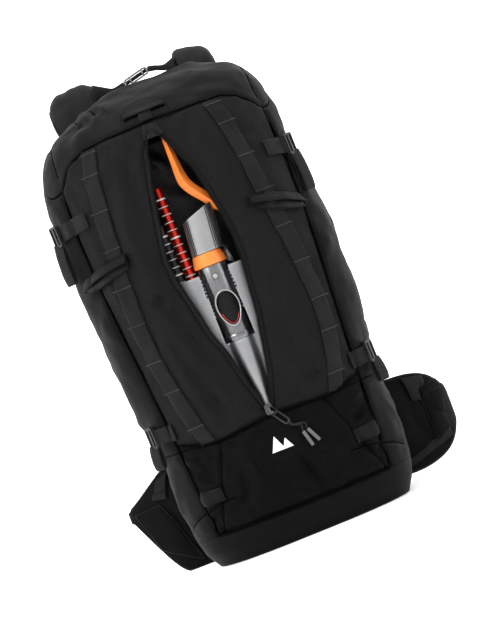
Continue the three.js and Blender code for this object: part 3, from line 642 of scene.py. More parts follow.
# Near-black and hardly reflective: painted shade, laid as thin lines and sheets in the seams, creases and the
# lid's slot.
SEAM_SHADE = plain(
    "painted_seam_shade", (0.0007, 0.0007, 0.0007, 1), 0.8, scale=1500.0, Specular_IOR_Level=0.03
)
DARK_METAL = metal("dark_zip_metal", (0.035, 0.035, 0.037, 1), 0.32, "X", 3.5)
PROBE_RED = metal("probe_red", (0.55, 0.03, 0.022, 1), 0.3)
PROBE_BLACK = metal("probe_black", (0.03, 0.03, 0.032, 1), 0.35)
TICK = plain("white_rings", (0.8, 0.8, 0.78, 1), 0.5)
THREAD = plain("thread", (0.008, 0.008, 0.0084, 1), 0.7, scale=1500.0, Specular_IOR_Level=0.12)
BARTACK = plain("bartack_thread", (0.06, 0.06, 0.062, 1), 0.6, scale=1500.0, Specular_IOR_Level=0.15)
VELCRO = plain(
    "hook_and_loop", (0.0014, 0.0014, 0.0015, 1), 0.85, 0.0012, 1100.0, Specular_IOR_Level=0.12
)
MARK = plain("white_embroidery", (0.78, 0.78, 0.77, 1), 0.6, 0.0004, 1800.0)
AIRBAG = woven("airbag_nylon", 0.3, 0.6, coords="Object")
CORD_MATERIAL = webbing("pull_cord", 0.012, "Object")

# ---------------------------------------------------------------- camera and cords

AIM = Vector((0.0241, -0.100, 0.2752))
DISTANCE = 3.5
FRAME_HEIGHT = 0.7465  # what the picture spans at AIM
ROLL = math.radians(22)


def make_camera():
    """One camera in front of the pack, rolled so that the pack leans in the picture."""
    data = bpy.data.cameras.new("camera")
    data.sensor_fit = "VERTICAL"
    data.sensor_height = 36
    data.lens = data.sensor_height * DISTANCE / FRAME_HEIGHT
    data.clip_end = 30
    camera = bpy.data.objects.new("camera", data)
    bpy.context.scene.collection.objects.link(camera)
    right = Vector((math.cos(ROLL), 0, -math.sin(ROLL)))
    up = Vector((math.sin(ROLL), 0, math.cos(ROLL)))
    camera.matrix_world = Matrix.Translation(AIM + Vector((0, -DISTANCE, 0))) @ Matrix(
        (right, up, Vector((0, -1, 0)))
    ).transposed().to_4x4()
    bpy.context.scene.camera = camera


make_camera()

SLIDER_FACE = -0.1117  # y of the slider's back
PULL_LEAN = 0.6
PULL_PIVOT = Vector((0.002, SLIDER_FACE - 0.0046, 0.1606))
PULL_LENGTH = 0.030
CORD_THICK = 0.0018
CORD_TOPS = (Vector((0.030, SLIDER_FACE - 0.0032, 0.121)), Vector((0.036, SLIDER_FACE - 0.0032, 0.122)))


def curve_through(controls, count):
    """Points along a smooth curve through the control points, this many between each two."""
    controls = [Vector(c) for c in controls]
    padded = [controls[0] * 2 - controls[1], *controls, controls[-1] * 2 - controls[-2]]
    points = []
    for i in range(1, len(padded) - 2):
        p0, p1, p2, p3 = padded[i - 1 : i + 3]
        square = 2 * p0 - 5 * p1 + 4 * p2 - p3
        cube = 3 * p1 - p0 - 3 * p2 + p3
        for k in range(count):
            t = k / count
            points.append(0.5 * (2 * p1 + (p2 - p0) * t + square * t * t + cube * t ** 3))
    points.append(controls[-1])
    return points


def make_pull_cords():
    """Two strands from the pull's ring down to the two moulded ends."""
    down = Vector((math.sin(PULL_LEAN), 0, -math.cos(PULL_LEAN)))
    start = PULL_PIVOT + down * (PULL_LENGTH - 0.0022)
    shifts = (-0.0008, 0.0012)
    fall = (Vector((0.005, 0.0003, -0.020)), Vector((0.0085, 0.0003, -0.018)))
    for i, (side, top) in enumerate(zip(("left", "right"), CORD_TOPS)):
        exit_point = start + Vector((shifts[i], -0.0004, 0))
        line = curve_through([
            exit_point,
            exit_point + down * 0.006 + Vector((0.0004 * i, -0.0004, 0)),
            top + Vector((0.0006 - 0.0012 * i, -0.0006, 0.0075)),
            top + Vector((0, 0, -0.0004)),
            top + fall[i] * 0.85,
        ], 10)
        curve = bpy.data.curves.new(f"pull_cord_{side}", "CURVE")
        curve.dimensions = "3D"
        curve.bevel_depth = CORD_THICK / 2
        curve.bevel_resolution = 3
        curve.use_fill_caps = True
        spline = curve.splines.new("POLY")
        spline.points.add(len(line) - 1)
        for point, p in zip(spline.points, line):
            point.co = (*p, 1)
        cord = bpy.data.objects.new(f"pull_cord_{side}", curve)
        bpy.context.scene.collection.objects.link(cord)
        settle(cord, "pull", CORD_MATERIAL, "webbing", *(["zip_pull_cord"] if i == 0 else []))
        end = refined(
            f"cord_end_{side}_piece", f"zip_cord_end_{side}", "pull", 0.0004, CORD_END
        )


make_pull_cords()

# ---------------------------------------------------------------- fabric panels


def eased(count, ease=0.6):
    """Shares from 0 to 1, closer together towards both ends."""
    s = np.linspace(0, 1, count)
    return (1 - ease) * s + ease * (0.5 - 0.5 * np.cos(math.pi * s))


def fold_height(a, b, folds):
    """Height of soft folds at (a, b): rows of start, end, width and height of a ridge, in millimetres."""
    total = np.zeros_like(a)
    for a0, b0, a1, b1, width, height in folds:
        p, q = np.array([a0, b0]) / 1000, np.array([a1, b1]) / 1000
        way = q - p
        length = np.linalg.norm(way)
        way = way / length
        along = ((a - p[0]) * way[0] + (b - p[1]) * way[1]) / length
        across = (a - p[0]) * way[1] - (b - p[1]) * way[0]
        share = np.clip(along, 0, 1)
        bow = np.sin(math.pi * share) * width / 3000
        past = np.maximum(0, np.abs(along - share)) * length
        taper = np.sin(math.pi * (0.08 + 0.84 * share)) * np.exp(-((past * 1000 / width) ** 2))
        total += height / 1000 * taper * np.exp(-(((across - bow) * 1000 / width) ** 2))
    return total


def ripple(a, b, seed, scale, height):
    """Slow random waves; the same for the same seed."""
    flat = [noise.noise(Vector((x * scale, z * scale, seed))) for x, z in zip(np.ravel(a), np.ravel(b))]
    return np.reshape(flat, np.shape(a)) * height


SEAM_REACH = 0.0035  # how far from a seam the cloth starts to dip


def edge_dip(grid, which=(True, True, True, True)):
    """How far each point sinks near the left, right, lower and upper edges."""
    sizes = metric_uv(grid)
    u = sizes[..., 0] - sizes[:, :1, 0]
    v = sizes[..., 1]
    ways = (u, u[:, -1:] - u, v, v[-1:] - v)
    sink = np.zeros(grid.shape[:2])
    for on, way in zip(which, ways):
        if on:
            sink = np.maximum(sink, np.exp(-((way / SEAM_REACH) ** 2)))
    return -SEAM_DIP * sink


def lifted(grid, height):
    """A grid moved out along its own normals."""
    return grid + normals_of(grid) * height[..., None]


def patch(rows, cols, low, high, left, right):
    """A grid on the surface between two side lines (turns at a height) and two edges (heights at an x)."""
    v, u = np.meshgrid(eased(rows), eased(cols), indexing="ij")
    z = low(np.zeros_like(v)) + (high(np.zeros_like(v), -0.1) - low(np.zeros_like(v))) * v
    for _ in range(5):
        turn = left(z) + (right(z) - left(z)) * u
        point = surface(z, turn)
        bottom, top = low(point[..., 0]), high(point[..., 0], point[..., 1])
        z = bottom + (top - bottom) * v
    return surface(z, left(z) + (right(z) - left(z)) * u)


GAP = 0.00035


def seam_turn(side, inward):
    """The turn of the seam between front and side; inward moves it towards the middle of the front."""
    return lambda z: turn_at_x(side * (side_seam(z) - inward), z)


def lid_line():
    """The upper edge of the panels below the lid."""
    return lambda x, y: lid_seam(x, y) - GAP


def pocket_line(up):
    """The pocket's upper seam, moved up."""
    return lambda x, y=0.0: pocket_seam(x) + up


def level_line(height):
    """A level edge."""
    return lambda x, y=0.0: np.full_like(x, height)


def zip_edge(side, apart=0.0):
    """The turn of the open zip's edge, or of the closed line above and below it."""
    def edge(z):
        opened = np.interp(z, ZIP[:, 0], ZIP[:, 1 if side < 0 else 2])
        closed = np.interp(z, ZIP_CENTRE[:, 0], ZIP_CENTRE[:, 1]) + side * GAP
        inside = (z > ZIP[0, 0]) & (z < ZIP[-1, 0])
        return turn_at_x(np.where(inside, opened + side * apart, closed), z)
    return edge


# start and end of each ridge, width and height, all in millimetres on the front
LEFT_FOLDS = [
    (-62, 470, -74, 345, 13, 4.4), (-78, 332, -58, 322, 6, -4.4), (-70, 300, -34, 205, 10, 3.1),
    (-84, 300, -62, 180, 9, 2.5), (-52, 330, -46, 250, 9, -2.4), (-66, 215, -42, 168, 7, -2.4),
    (-118, 470, -110, 300, 9, 2.0), (-40, 500, -52, 430, 8, -2.0), (-30, 190, -12, 165, 6, 2.0),
]
RIGHT_FOLDS = [
    (52, 480, 62, 350, 12, 2.7), (60, 330, 50, 240, 10, 2.4), (86, 300, 78, 200, 8, -2.2),
    (62, 250, 90, 178, 9, 2.9), (36, 235, 58, 165, 8, 2.7), (50, 190, 78, 168, 6, -2.5),
    (116, 460, 110, 330, 9, 1.9), (30, 500, 44, 440, 8, -1.7),
]
POCKET_FOLDS = [
    (8, 96, 20, 48, 5, 3.5), (16, 100, 27, 52, 5, -2.9), (-42, 140, -30, 60, 12, 2.9),
    (50, 138, 62, 62, 12, 2.6), (-62, 70, -30, 50, 6, 2.2), (-80, 62, -58, 78, 5, -2.4),
    (-52, 110, -60, 52, 6, -2.2), (70, 110, 78, 55, 6, -1.9), (30, 62, 66, 50, 6, 2.1),
]
LEFT_WING_FOLDS = [
    (-112, 136, -84, 128, 5, 3.6), (-108, 118, -88, 104, 5, -3.4), (-110, 92, -96, 76, 4, 2.9),
    (-110, 66, -104, 50, 4, -2.6), (-100, 144, -90, 112, 4, -2.1),
]
RIGHT_WING_FOLDS = [
    (84, 130, 112, 138, 5, 3.1), (90, 108, 110, 120, 5, -3.1), (94, 84, 112, 92, 4, 3.1),
    (104, 58, 112, 74, 4, -2.9), (88, 96, 98, 62, 4, -1.8),
]
# the same, seen from the side
SIDE_FOLDS = [
    (-40, 196, 60, 214, 8, 1.6), (-50, 176, 66, 172, 7, -2.6), (-44, 150, 60, 146, 7, 1.8),
    (-90, 205, -40, 182, 7, 2.6), (-92, 178, -50, 190, 5, -2.6), (-95, 158, -60, 140, 6, 2.2),
    (-92, 290, -60, 330, 9, 2.0), (-92, 370, -50, 350, 9, -1.8), (-90, 440, -60, 470, 8, 2.0),
    (-30, 470, 40, 452, 9, -1.6), (-40, 430, 30, 420, 8, 1.3), (-20, 260, 50, 300, 14, 1.0),
    (20, 120, 60, 80, 8, 1.2), (-50, 120, -20, 70, 8, 1.2),
]
LID_FOLDS = [
    (-89, 575, -79, 561, 3.8, -5.0), (-78, 582, -66, 560, 6, 2.6), (-66, 578, -55, 565, 3.8, -4.8),
    (-44, 566, -36, 540, 5, -1.6), (-30, 582, 40, 578, 7, 1.2), (50, 572, 96, 560, 9, 1.2),
    (-110, 552, -60, 545, 9, 1.4), (34, 556, 90, 536, 9, -1.2), (-128, 530, -104, 556, 7, 1.3),
    (104, 556, 124, 524, 7, 1.3), (-20, 572, 20, 568, 8, -0.9), (-86, 560, -116, 540, 6, -2.0),
    (-70, 556, -98, 532, 6, 2.0), (-44, 576, -70, 548, 4, 2.2), (60, 548, 98, 532, 6, 1.4),
    (-6, 582, 60, 586, 6, -1.2),
]


def make_front_panels():
    """Two panels between the side seams and the open front zip."""
    for side, name, folds in ((-1, "left", LEFT_FOLDS), (1, "right", RIGHT_FOLDS)):
        outer, inner = seam_turn(side, GAP), zip_edge(side, 0.0006)
        left, right = (outer, inner) if side < 0 else (inner, outer)
        grid = patch(150, 72, pocket_line(GAP), lid_line(), left, right)
        x, z = grid[..., 0], grid[..., 2]
        height = 1.8 * fold_height(x, z, folds) + ripple(x, z, 3.0 * side, 26.0, 0.0024)
        height = height + ripple(x, z, 9.0 * side, 48.0, 0.0024) + ripple(x, z, 19.0, 110.0, 0.0008)
        across = metric_uv(grid)[..., 0]
        share = np.clip((across - across[:, :1]) / np.ptp(across, axis=1)[:, None], 0, 1)
        height = height * np.clip(np.sin(math.pi * share) * 1.6, 0, 1) + edge_dip(grid)
        panel = slab(f"front_cloth_{name}", lifted(grid, height), CLOTH)
        settle(panel, "pack", MATT, "matt_fabric", f"front_panel_{name}")


def make_side_panels():
    """Two panels from the side seams round to the back."""
    for side, name in ((-1, "left"), (1, "right")):
        seam, back = seam_turn(side, -GAP), lambda z: turn_at_back_seam(z, side)
        left, right = (back, seam) if side < 0 else (seam, back)
        grid = patch(150, 56, level_line(BOTTOM_SEAM + 0.00005), lid_line(), left, right)
        y, z = grid[..., 1], grid[..., 2]
        height = 1.5 * fold_height(y, z, SIDE_FOLDS) + ripple(y, z, 5.0 * side, 22.0, 0.0024)
        height = height + ripple(y, z, 7.0, 60.0, 0.0010)
        height = height * np.clip((z - BOTTOM_SEAM) / 0.012, 0, 1) + edge_dip(grid, (True, True, False, True))
        waist = np.abs(z - WAIST_SEAM) / 0.0028
        height = height - SEAM_DIP * np.exp(-waist ** 2)
        slanted = np.abs(z - low_side_seam(y)) / 0.0025
        height = height - np.where(y < -0.02, 0.0024 * np.exp(-slanted ** 2), 0)
        panel = slab(f"side_cloth_{name}", lifted(grid, height), CLOTH)
        settle(panel, "pack", GLOSSY, "glossy_fabric", f"side_panel_{name}")


def make_back_panel():
    """The plain panel behind the harness."""
    grid = patch(
        110, 70, level_line(BOTTOM_SEAM + GAP), level_line(LID_HINGE_Z - 0.0015),
        lambda z: turn_at_back_seam(z, 1), lambda z: turn_at_back_seam(z, -1) + 2 * math.pi,
    )
    x, z = grid[..., 0], grid[..., 2]
    height = ripple(x, z, 21.0, 20.0, 0.0010) + edge_dip(grid)
    panel = slab("back_cloth", lifted(grid, height), CLOTH)
    settle(panel, "pack", MATT, "matt_fabric", "back_panel")


def make_bottom_panel():
    """Rings across the flat underside, then up to the bottom seam."""
    turn = np.linspace(0, 2 * math.pi, 150, endpoint=False)
    rings = [surface(0.0, turn) * np.array([s, s, 0]) for s in (0.02, 0.3, 0.6, 0.85, 0.96)]
    heights = np.concatenate([np.linspace(0.0006, 0.012, 9), np.linspace(0.016, BOTTOM_SEAM - GAP, 20)])
    rings += [surface(z, turn) for z in heights]
    grid = np.stack(rings)
    angle = np.broadcast_to(turn, grid.shape[:2])
    z = grid[..., 2]
    folds = [(-2400 + k * 330, 12, -2330 + k * 330, 36, 26, 1.6) for k in range(8)]
    height = fold_height(angle, z, folds) * np.clip(z / 0.01, 0, 1)
    height += ripple(grid[..., 0] + grid[..., 1], z, 31.0, 30.0, 0.0012) * np.clip(z / 0.02, 0, 1)
    height *= np.clip((BOTTOM_SEAM - z) / 0.012, 0, 1)
    sewn = np.clip((0.112 - np.abs(grid[..., 0])) / 0.004, 0, 1) * (grid[..., 1] < 0)
    height -= SEAM_DIP * sewn * np.exp(-(((BOTTOM_SEAM - z) / SEAM_REACH) ** 2))
    grid = grid + ring_normals(grid) * height[..., None]
    grid[..., 2] = np.maximum(grid[..., 2], 0)
    panel = slab("bottom_cloth", grid, CLOTH, closed_across=True)
    close_ends(panel)
    settle(panel, "pack", GLOSSY, "glossy_fabric", "bottom_panel")


def make_pocket():
    """The bellows pocket at the foot of the front."""
    grid = patch(
        96, 120, level_line(BOTTOM_SEAM + GAP), pocket_line(-GAP), seam_turn(-1, GAP), seam_turn(1, GAP)
    )
    x, z = grid[..., 0], grid[..., 2]
    folds = POCKET_FOLDS + LEFT_WING_FOLDS + RIGHT_WING_FOLDS
    height = 1.9 * fold_height(x, z, folds) + ripple(x, z, 41.0, 34.0, 0.0034)
    height = height + ripple(x, z, 43.0, 75.0, 0.0020) + edge_dip(grid)
    for top, bottom in POCKET_SIDES:
        line = bottom[0] + (top[0] - bottom[0]) * (z - bottom[1]) / (top[1] - bottom[1])
        height = height - 0.0020 * np.exp(-(((x - line) / 0.0024) ** 2))
    puff = np.clip(1 - np.abs(x / 0.085) ** 3, 0, 1) * np.sin(math.pi * np.clip((z - 0.04) / 0.11, 0, 1))
    panel = slab("pocket_cloth", lifted(grid, height + 0.003 * puff), CLOTH)
    settle(panel, "pack", POCKET, "matt_fabric", "front_pocket")


def lid_rim(turn, up=0.0):
    """The height of the lid's seam at each turn; surface and seam meet after a few rounds."""
    height = np.full_like(turn, 0.53)
    for _ in range(12):
        p = surface(height, turn)
        height = np.clip(lid_seam(p[:, 0], p[:, 1]) + up, 0.40, 0.5862)
    return height


def make_lid():
    """Rings from the seam up to the crown, closed over the top."""
    turn = np.linspace(0, 2 * math.pi, 170, endpoint=False)
    start = lid_rim(turn, GAP)
    rings = [surface(start + (HEIGHT - start) * share, turn) for share in eased(46, 0.35)]
    crown = rings[-1]
    middle = crown.mean(axis=0)
    rings += [middle + (crown - middle) * s for s in (0.86, 0.68, 0.48, 0.28, 0.1, 0.01)]
    grid = np.stack(rings)
    x, y, z = grid[..., 0], grid[..., 1], grid[..., 2]
    front = np.clip(-(y - 0.03) / 0.08, 0, 1)
    height = fold_height(x, z, LID_FOLDS) * front * 1.7 + ripple(x + 0.3 * y, z + y, 51.0, 24.0, 0.0026)
    height = height + ripple(x, z + y, 53.0, 60.0, 0.0009)
    near_seam = metric_uv(grid)[..., 1]
    height = height * np.clip(near_seam / 0.008, 0, 1) - SEAM_DIP * np.exp(-((near_seam / SEAM_REACH) ** 2))
    for side in (-1, 1):
        corner = np.abs(x - side * lid_corner(z)) / 0.0026
        height = height - np.where(front > 0.4, 0.0016 * np.exp(-corner ** 2), 0)
    lid = slab("lid_cloth", grid + ring_normals(grid) * height[..., None], CLOTH, closed_across=True)
    close_ends(lid)
    settle(lid, "lid", MATT, "matt_fabric", "lid")


make_front_panels()
make_side_panels()
make_back_panel()
make_bottom_panel()
make_pocket()
make_lid()

# ---------------------------------------------------------------- things laid on the cloth


def cloth_tree(*names):
    """Nearest-point search over the outer faces of cloth pieces."""
    points, faces = [], []
    for name in names:
        data = bpy.data.objects[name].data
        base = len(points)
        points += [v.co.copy() for v in data.vertices]
        faces += [tuple(base + i for i in p.vertices) for p in data.polygons]
    return BVHTree.FromPolygons(points, faces)


def snapped(tree, grid, out):
    """The grid's points moved to the cloth, then `out` proud of it along the pack's own normal."""
    shape = grid.shape[:-1]
    normal = outward(grid)
    out = np.broadcast_to(out, shape)
    result = np.empty_like(grid)
    for index in np.ndindex(*shape):
        start = Vector(grid[index] + normal[index] * 0.03)
        hit = tree.ray_cast(start, Vector(-normal[index]), 0.07)[0]
        place = np.array(hit) if hit is not None else grid[index]
        result[index] = place + normal[index] * out[index]
    return result


def outward(grid):
    """Directions out of the pack at points on or near its surface."""
    z = np.clip(grid[..., 2], 0.02, 0.57)
    step = 0.003
    centre = smooth(SECTIONS, z, 1)
    half = smooth(SECTIONS, z, 2)
    front = grid[..., 1] < MIDDLE_Y
    depth = np.where(front, MIDDLE_Y - smooth(SECTIONS, z, 3), smooth(SECTIONS, z, 4) - MIDDLE_Y)
    power = np.where(front, FRONT_ROUNDNESS, BACK_ROUNDNESS)
    across, deep = (grid[..., 0] - centre) / half, (grid[..., 1] - MIDDLE_Y) / depth
    x = np.sign(across) * np.abs(across) ** (power - 1) / half
    y = np.sign(deep) * np.abs(deep) ** (power - 1) / depth
    taper = -(smooth(SECTIONS, z + step, 2) - smooth(SECTIONS, z - step, 2)) / (2 * step)
    up = taper * np.hypot(x, y) * np.abs(across) ** 2
    normal = np.stack([x, y, up], axis=-1)
    return normal / np.maximum(np.linalg.norm(normal, axis=-1, keepdims=True), 1e-9)


def run_along(line):
    """The distance along a line at each of its points."""
    return np.concatenate([[0], np.linalg.norm(np.diff(line, axis=0), axis=1).cumsum()])


def rows_at(at, distance, rows):
    """Rows of a table, such as points, at these distances."""
    return np.stack([np.interp(at, distance, rows[:, k]) for k in range(rows.shape[1])], axis=-1)


STITCH, STITCH_GAP, STITCH_THICK = 0.0026, 0.0013, 0.00035


def stitches(name, line, normal, body, slot="webbing"):
    """A row of stitches along a line of points with their normals: small spindles half sunk in the cloth."""
    line, normal = np.asarray(line, float), np.asarray(normal, float)
    distance = run_along(line)
    starts = np.arange(STITCH / 2, distance[-1] - STITCH / 2, STITCH + STITCH_GAP)
    middle = rows_at(starts, distance, line)
    way = rows_at(starts + STITCH / 2, distance, line) - middle
    up = rows_at(starts, distance, normal)
    up /= np.linalg.norm(up, axis=1, keepdims=True)
    side = np.cross(way, up)
    side /= np.maximum(np.linalg.norm(side, axis=1, keepdims=True), 1e-12)
    points, faces = [], []
    for m, w, n, s in zip(middle, way, up * STITCH_THICK, side * STITCH_THICK):
        base = len(points)
        points += [m - w, m + s, m + n, m - s, m - n, m + w]
        for k in range(1, 5):
            after = k % 4 + 1
            faces.append((base, base + after, base + k))
            faces.append((base + 5, base + k, base + after))
    settle(mesh_object(name, points, faces), body, THREAD, slot)


def stitched_line(name, tree, points, body="pack", out=0.0001):
    """Stitches along a line of points laid on the cloth."""
    line = snapped(tree, points[None], out)[0]
    stitches(name, line, outward(line), body)


def apply_modifiers(piece):
    """Replaces the piece's mesh by what its modifiers make of it."""
    bpy.context.view_layer.update()
    graph = bpy.context.evaluated_depsgraph_get()
    data = bpy.data.meshes.new_from_object(piece.evaluated_get(graph))
    piece.modifiers.clear()
    piece.data = data


def cut(piece, *cutters):
    """Takes the cutters' shapes out of the piece."""
    for cutter in cutters:
        modifier = piece.modifiers.new("cut", "BOOLEAN")
        modifier.operation = "DIFFERENCE"
        modifier.solver = "EXACT"
        modifier.object = cutter
        apply_modifiers(piece)
        bpy.data.objects.remove(cutter)


FRONT = cloth_tree("front_cloth_left", "front_cloth_right", "pocket_cloth")
SIDES = cloth_tree(
    "front_cloth_left", "front_cloth_right", "side_cloth_left", "side_cloth_right", "pocket_cloth",
    "bottom_cloth",
)
LID = cloth_tree("lid_cloth")


def make_daisy_chain(side, name, table):
    """Webbing sewn down by a bartack every 45 mm, a little slack in between."""
    lid_top = lid_seam(table[-1, 1], LID_FRONT) - 0.0012
    rows = np.linspace(table[0, 0] + 0.001, lid_top, 150)
    inner = lambda z: np.interp(z, table[:, 0], table[:, 1])
    outer = lambda z: inner(z) + side * DAISY_WIDTH
    left, right = (outer, inner) if side < 0 else (inner, outer)
    cols = 7
    z, u = np.meshgrid(rows, np.linspace(0, 1, cols), indexing="ij")
    grid = on_front(left(z) + (right(z) - left(z)) * u, z)
    tacks = np.array(BARTACKS)
    nearest = np.min(np.abs(rows[:, None] - tacks[None]), axis=1)
    slack = 0.0010 * (1 - np.exp(-((nearest / 0.009) ** 2)))
    across = np.linspace(-1, 1, cols)
    out = 0.0016 + slack[:, None] * (1 - 0.35 * across[None] ** 2)
    strip = slab(f"daisy_chain_{name}_strip", snapped(FRONT, grid, out), 0.0013)
    settle(strip, "pack", WEBBING, "webbing", f"daisy_chain_{name}")
    bars = []
    zigzags = 13
    over, past = 0.0005, 0.002  # how far a bartack passes the webbing's edges, and its outer one
    for z in tacks[tacks < lid_top - 0.002]:
        x0, x1 = float(left(z)) - over, float(right(z)) + over
        if side < 0:
            x0 -= past
        else:
            x1 += past
        xs = np.linspace(x0, x1, 2 * zigzags)
        zig = z + 0.0006 * np.tile([1, -1], zigzags)
        line = snapped(FRONT, on_front(xs, zig)[None], 0.0023)[0]
        bars.append(tube(f"tack_{name}_{z:.3f}", line, 0.00042, 5))
    settle(joined(f"daisy_bartacks_{name}", bars), "pack", BARTACK, "webbing")


def make_zip_tape(side, name):
    """The tape along the open zip's edge, with the coil on its free edge."""
    rows = np.linspace(ZIP[0, 0] + 0.003, ZIP[-1, 0] - 0.001, 170)
    edge = lambda z: np.interp(z, ZIP[:, 0], ZIP[:, 1 if side < 0 else 2])
    reach = np.clip((ZIP[-1, 0] - rows) / 0.03, 0.25, 1) * np.clip((rows - ZIP[0, 0]) / 0.02, 0.3, 1)
    free_edge = lambda share: edge(rows) + side * (0.0012 - 0.0052 * share * reach)
    tape = [on_front(free_edge(u), rows, -0.0016 + 0.0008 * u) for u in np.linspace(0, 1, 6)]
    grid = np.stack(tape, axis=1)
    if side > 0:
        grid = grid[:, ::-1]
    strip = slab(f"zip_tape_{name}_strip", grid, 0.0008)
    settle(strip, "pack", TAPE, "webbing", f"zip_tape_{name}")
    line = on_front(free_edge(1), rows, -0.0005)
    distance = run_along(line)
    pitch, steps = 0.0016, 8  # of the coil, and the points in each turn
    t = np.linspace(0, distance[-1], int(distance[-1] / pitch) * steps)
    centre = rows_at(t, distance, line)
    normal = outward(centre)
    way = np.gradient(centre, axis=0)
    way /= np.linalg.norm(way, axis=1, keepdims=True)
    across = np.cross(way, normal)
    angle = np.arange(len(t)) * 2 * math.pi / steps
    coil = centre + across * (0.0014 * np.cos(angle))[:, None] + normal * (0.0010 * np.sin(angle))[:, None]
    settle(tube(f"zip_coil_{name}", coil, 0.00036, 5), "pack", TAPE, "black_plastic")
    sewn = (rows > ZIP[0, 0] + 0.004) & (rows < ZIP[-1, 0] - 0.009)
    for k, inset in enumerate((0.0035, 0.0085)):
        line = on_front((edge(rows) + side * inset)[sewn], rows[sewn])
        stitched_line(f"zip_stitches_{name}_{k}", FRONT, line)


STITCH_INSET = 0.0045


def make_seam_stitches():
    """Top-stitching a few millimetres inside the panels' seams."""
    z = np.linspace(0.165, 0.500, 120)
    for side, name in ((-1, "left"), (1, "right")):
        x = side * (side_seam(z) - STITCH_INSET)
        keep = z < lid_seam_in_front(x) - 0.004
        stitched_line(f"side_stitches_{name}", FRONT, on_front(x[keep], z[keep]))
    x = np.linspace(-0.108, 0.108, 120)
    stitched_line("pocket_stitches", FRONT, on_front(x, pocket_seam(x) - STITCH_INSET))
    stitched_line("bottom_stitches", FRONT, on_front(x, np.full_like(x, BOTTOM_SEAM + 0.004)))
    for k, (top, bottom) in enumerate(POCKET_SIDES):
        share = np.linspace(0.06, 0.94, 60)
        inward = STITCH_INSET if k == 0 else -STITCH_INSET
        xs = bottom[0] + (top[0] - bottom[0]) * share + inward
        zs = bottom[1] + (top[1] - bottom[1]) * share
        stitched_line(f"pocket_side_stitches_{k}", FRONT, on_front(xs, zs))
    x = np.linspace(-0.125, 0.125, 150)
    stitched_line("lid_stitches", LID, on_front(x, lid_seam_in_front(x) + 0.0052), "lid")


def painted_shade_line(name, tree, line, body="pack", radius=0.0011):
    """A thin near-black tube along a line on the cloth, flush with it: painted shade, as in a seam."""
    path = snapped(tree, line[None], -0.0002)[0]
    settle(tube(name, path, radius, 8), body, SEAM_SHADE, "webbing")


def make_seam_shades_and_hinge_binding():
    """Painted shade as thin near-black tubes in every seam of the front and sides, and a thicker webbing binding
    along the lid's hinge.
    """
    z = np.linspace(0.044, 0.520, 150)
    for side, name in ((-1, "left"), (1, "right")):
        keep = z < lid_seam_in_front(side_seam(z)) - 0.001
        painted_shade_line(f"side_seam_shade_{name}", FRONT, on_front(side * side_seam(z[keep]), z[keep]))
        forward = np.linspace(-0.102, -0.030, 40)
        height = low_side_seam(forward)
        keep = height > BOTTOM_SEAM + 0.004
        turn = np.array([turn_at_depth(y, h, side) for y, h in zip(forward[keep], height[keep])])
        painted_shade_line(f"low_side_binding_{name}", SIDES, surface(height[keep], turn))
        first, last = (-0.95, 0.75) if side > 0 else (-2.19, -3.9)
        waist = surface(np.full(40, WAIST_SEAM), np.linspace(first, last, 40))
        painted_shade_line(f"waist_seam_shade_{name}", SIDES, waist)
    x = np.linspace(-0.112, 0.112, 120)
    painted_shade_line("pocket_seam_shade", FRONT, on_front(x, pocket_seam(x)))
    painted_shade_line("bottom_seam_shade", FRONT, on_front(x, np.full_like(x, BOTTOM_SEAM)))
    for k, (top, bottom) in enumerate(POCKET_SIDES):
        share = np.linspace(0, 1, 60)
        xs = bottom[0] + (top[0] - bottom[0]) * share
        zs = bottom[1] + (top[1] - bottom[1]) * share
        painted_shade_line(f"pocket_side_binding_{k}", FRONT, on_front(xs, zs))
    turn = np.linspace(-math.pi - 0.55, 0.55, 260)
    painted_shade_line("lid_seam_shade", LID, surface(lid_rim(turn) + 0.0008, turn), "lid", 0.0012)
    along = np.linspace(-0.098, 0.098, 60)[:, None]
    hinge = along * np.array([1, 0, 0]) + np.array([0, LID_HINGE_Y, LID_HINGE_Z - 0.0002])
    settle(tube("lid_hinge_binding", hinge, 0.0026, 10), "pack", WEBBING, "webbing")
    for side, name in ((-1, "left"), (1, "right")):
        z = np.linspace(0.512, 0.560, 40)
        painted_shade_line(f"lid_corner_seam_shade_{name}", LID, on_front(side * lid_corner(z), z), "lid")


def turn_at_depth(y, z, side):
    """The turn on the front half at which the surface has this y."""
    front = smooth(SECTIONS, np.array([z]), 3)[0]
    deep = np.clip((y - MIDDLE_Y) / (MIDDLE_Y - front), -1, 0)
    turn = np.arcsin(-(abs(deep) ** (FRONT_ROUNDNESS / 2)))
    return turn if side > 0 else -math.pi - turn


def mesh_of(low, high, rows, cols, left=-1.0, right=1.0):
    """Heights between low and high and shares across, as two grids."""
    return np.meshgrid(np.linspace(low, high, rows), np.linspace(left, right, cols), indexing="ij")


PATCH_X, PATCH_HALF = -0.004, 0.029
# heights of the lid patch: its lower edge, where its sides start to lean in, its slot and its top
PATCH_LOW, PATCH_SPRING, PATCH_SLOT, PATCH_TOP = 0.5365, 0.540, 0.5475, 0.5615


def patch_half(z):
    """Half width of the lid patch: an arch with upright sides and a round top."""
    share = np.clip((z - PATCH_SPRING) / (PATCH_TOP - PATCH_SPRING), 0, 1)
    return PATCH_HALF * (1 - share ** 2.4) ** 0.5


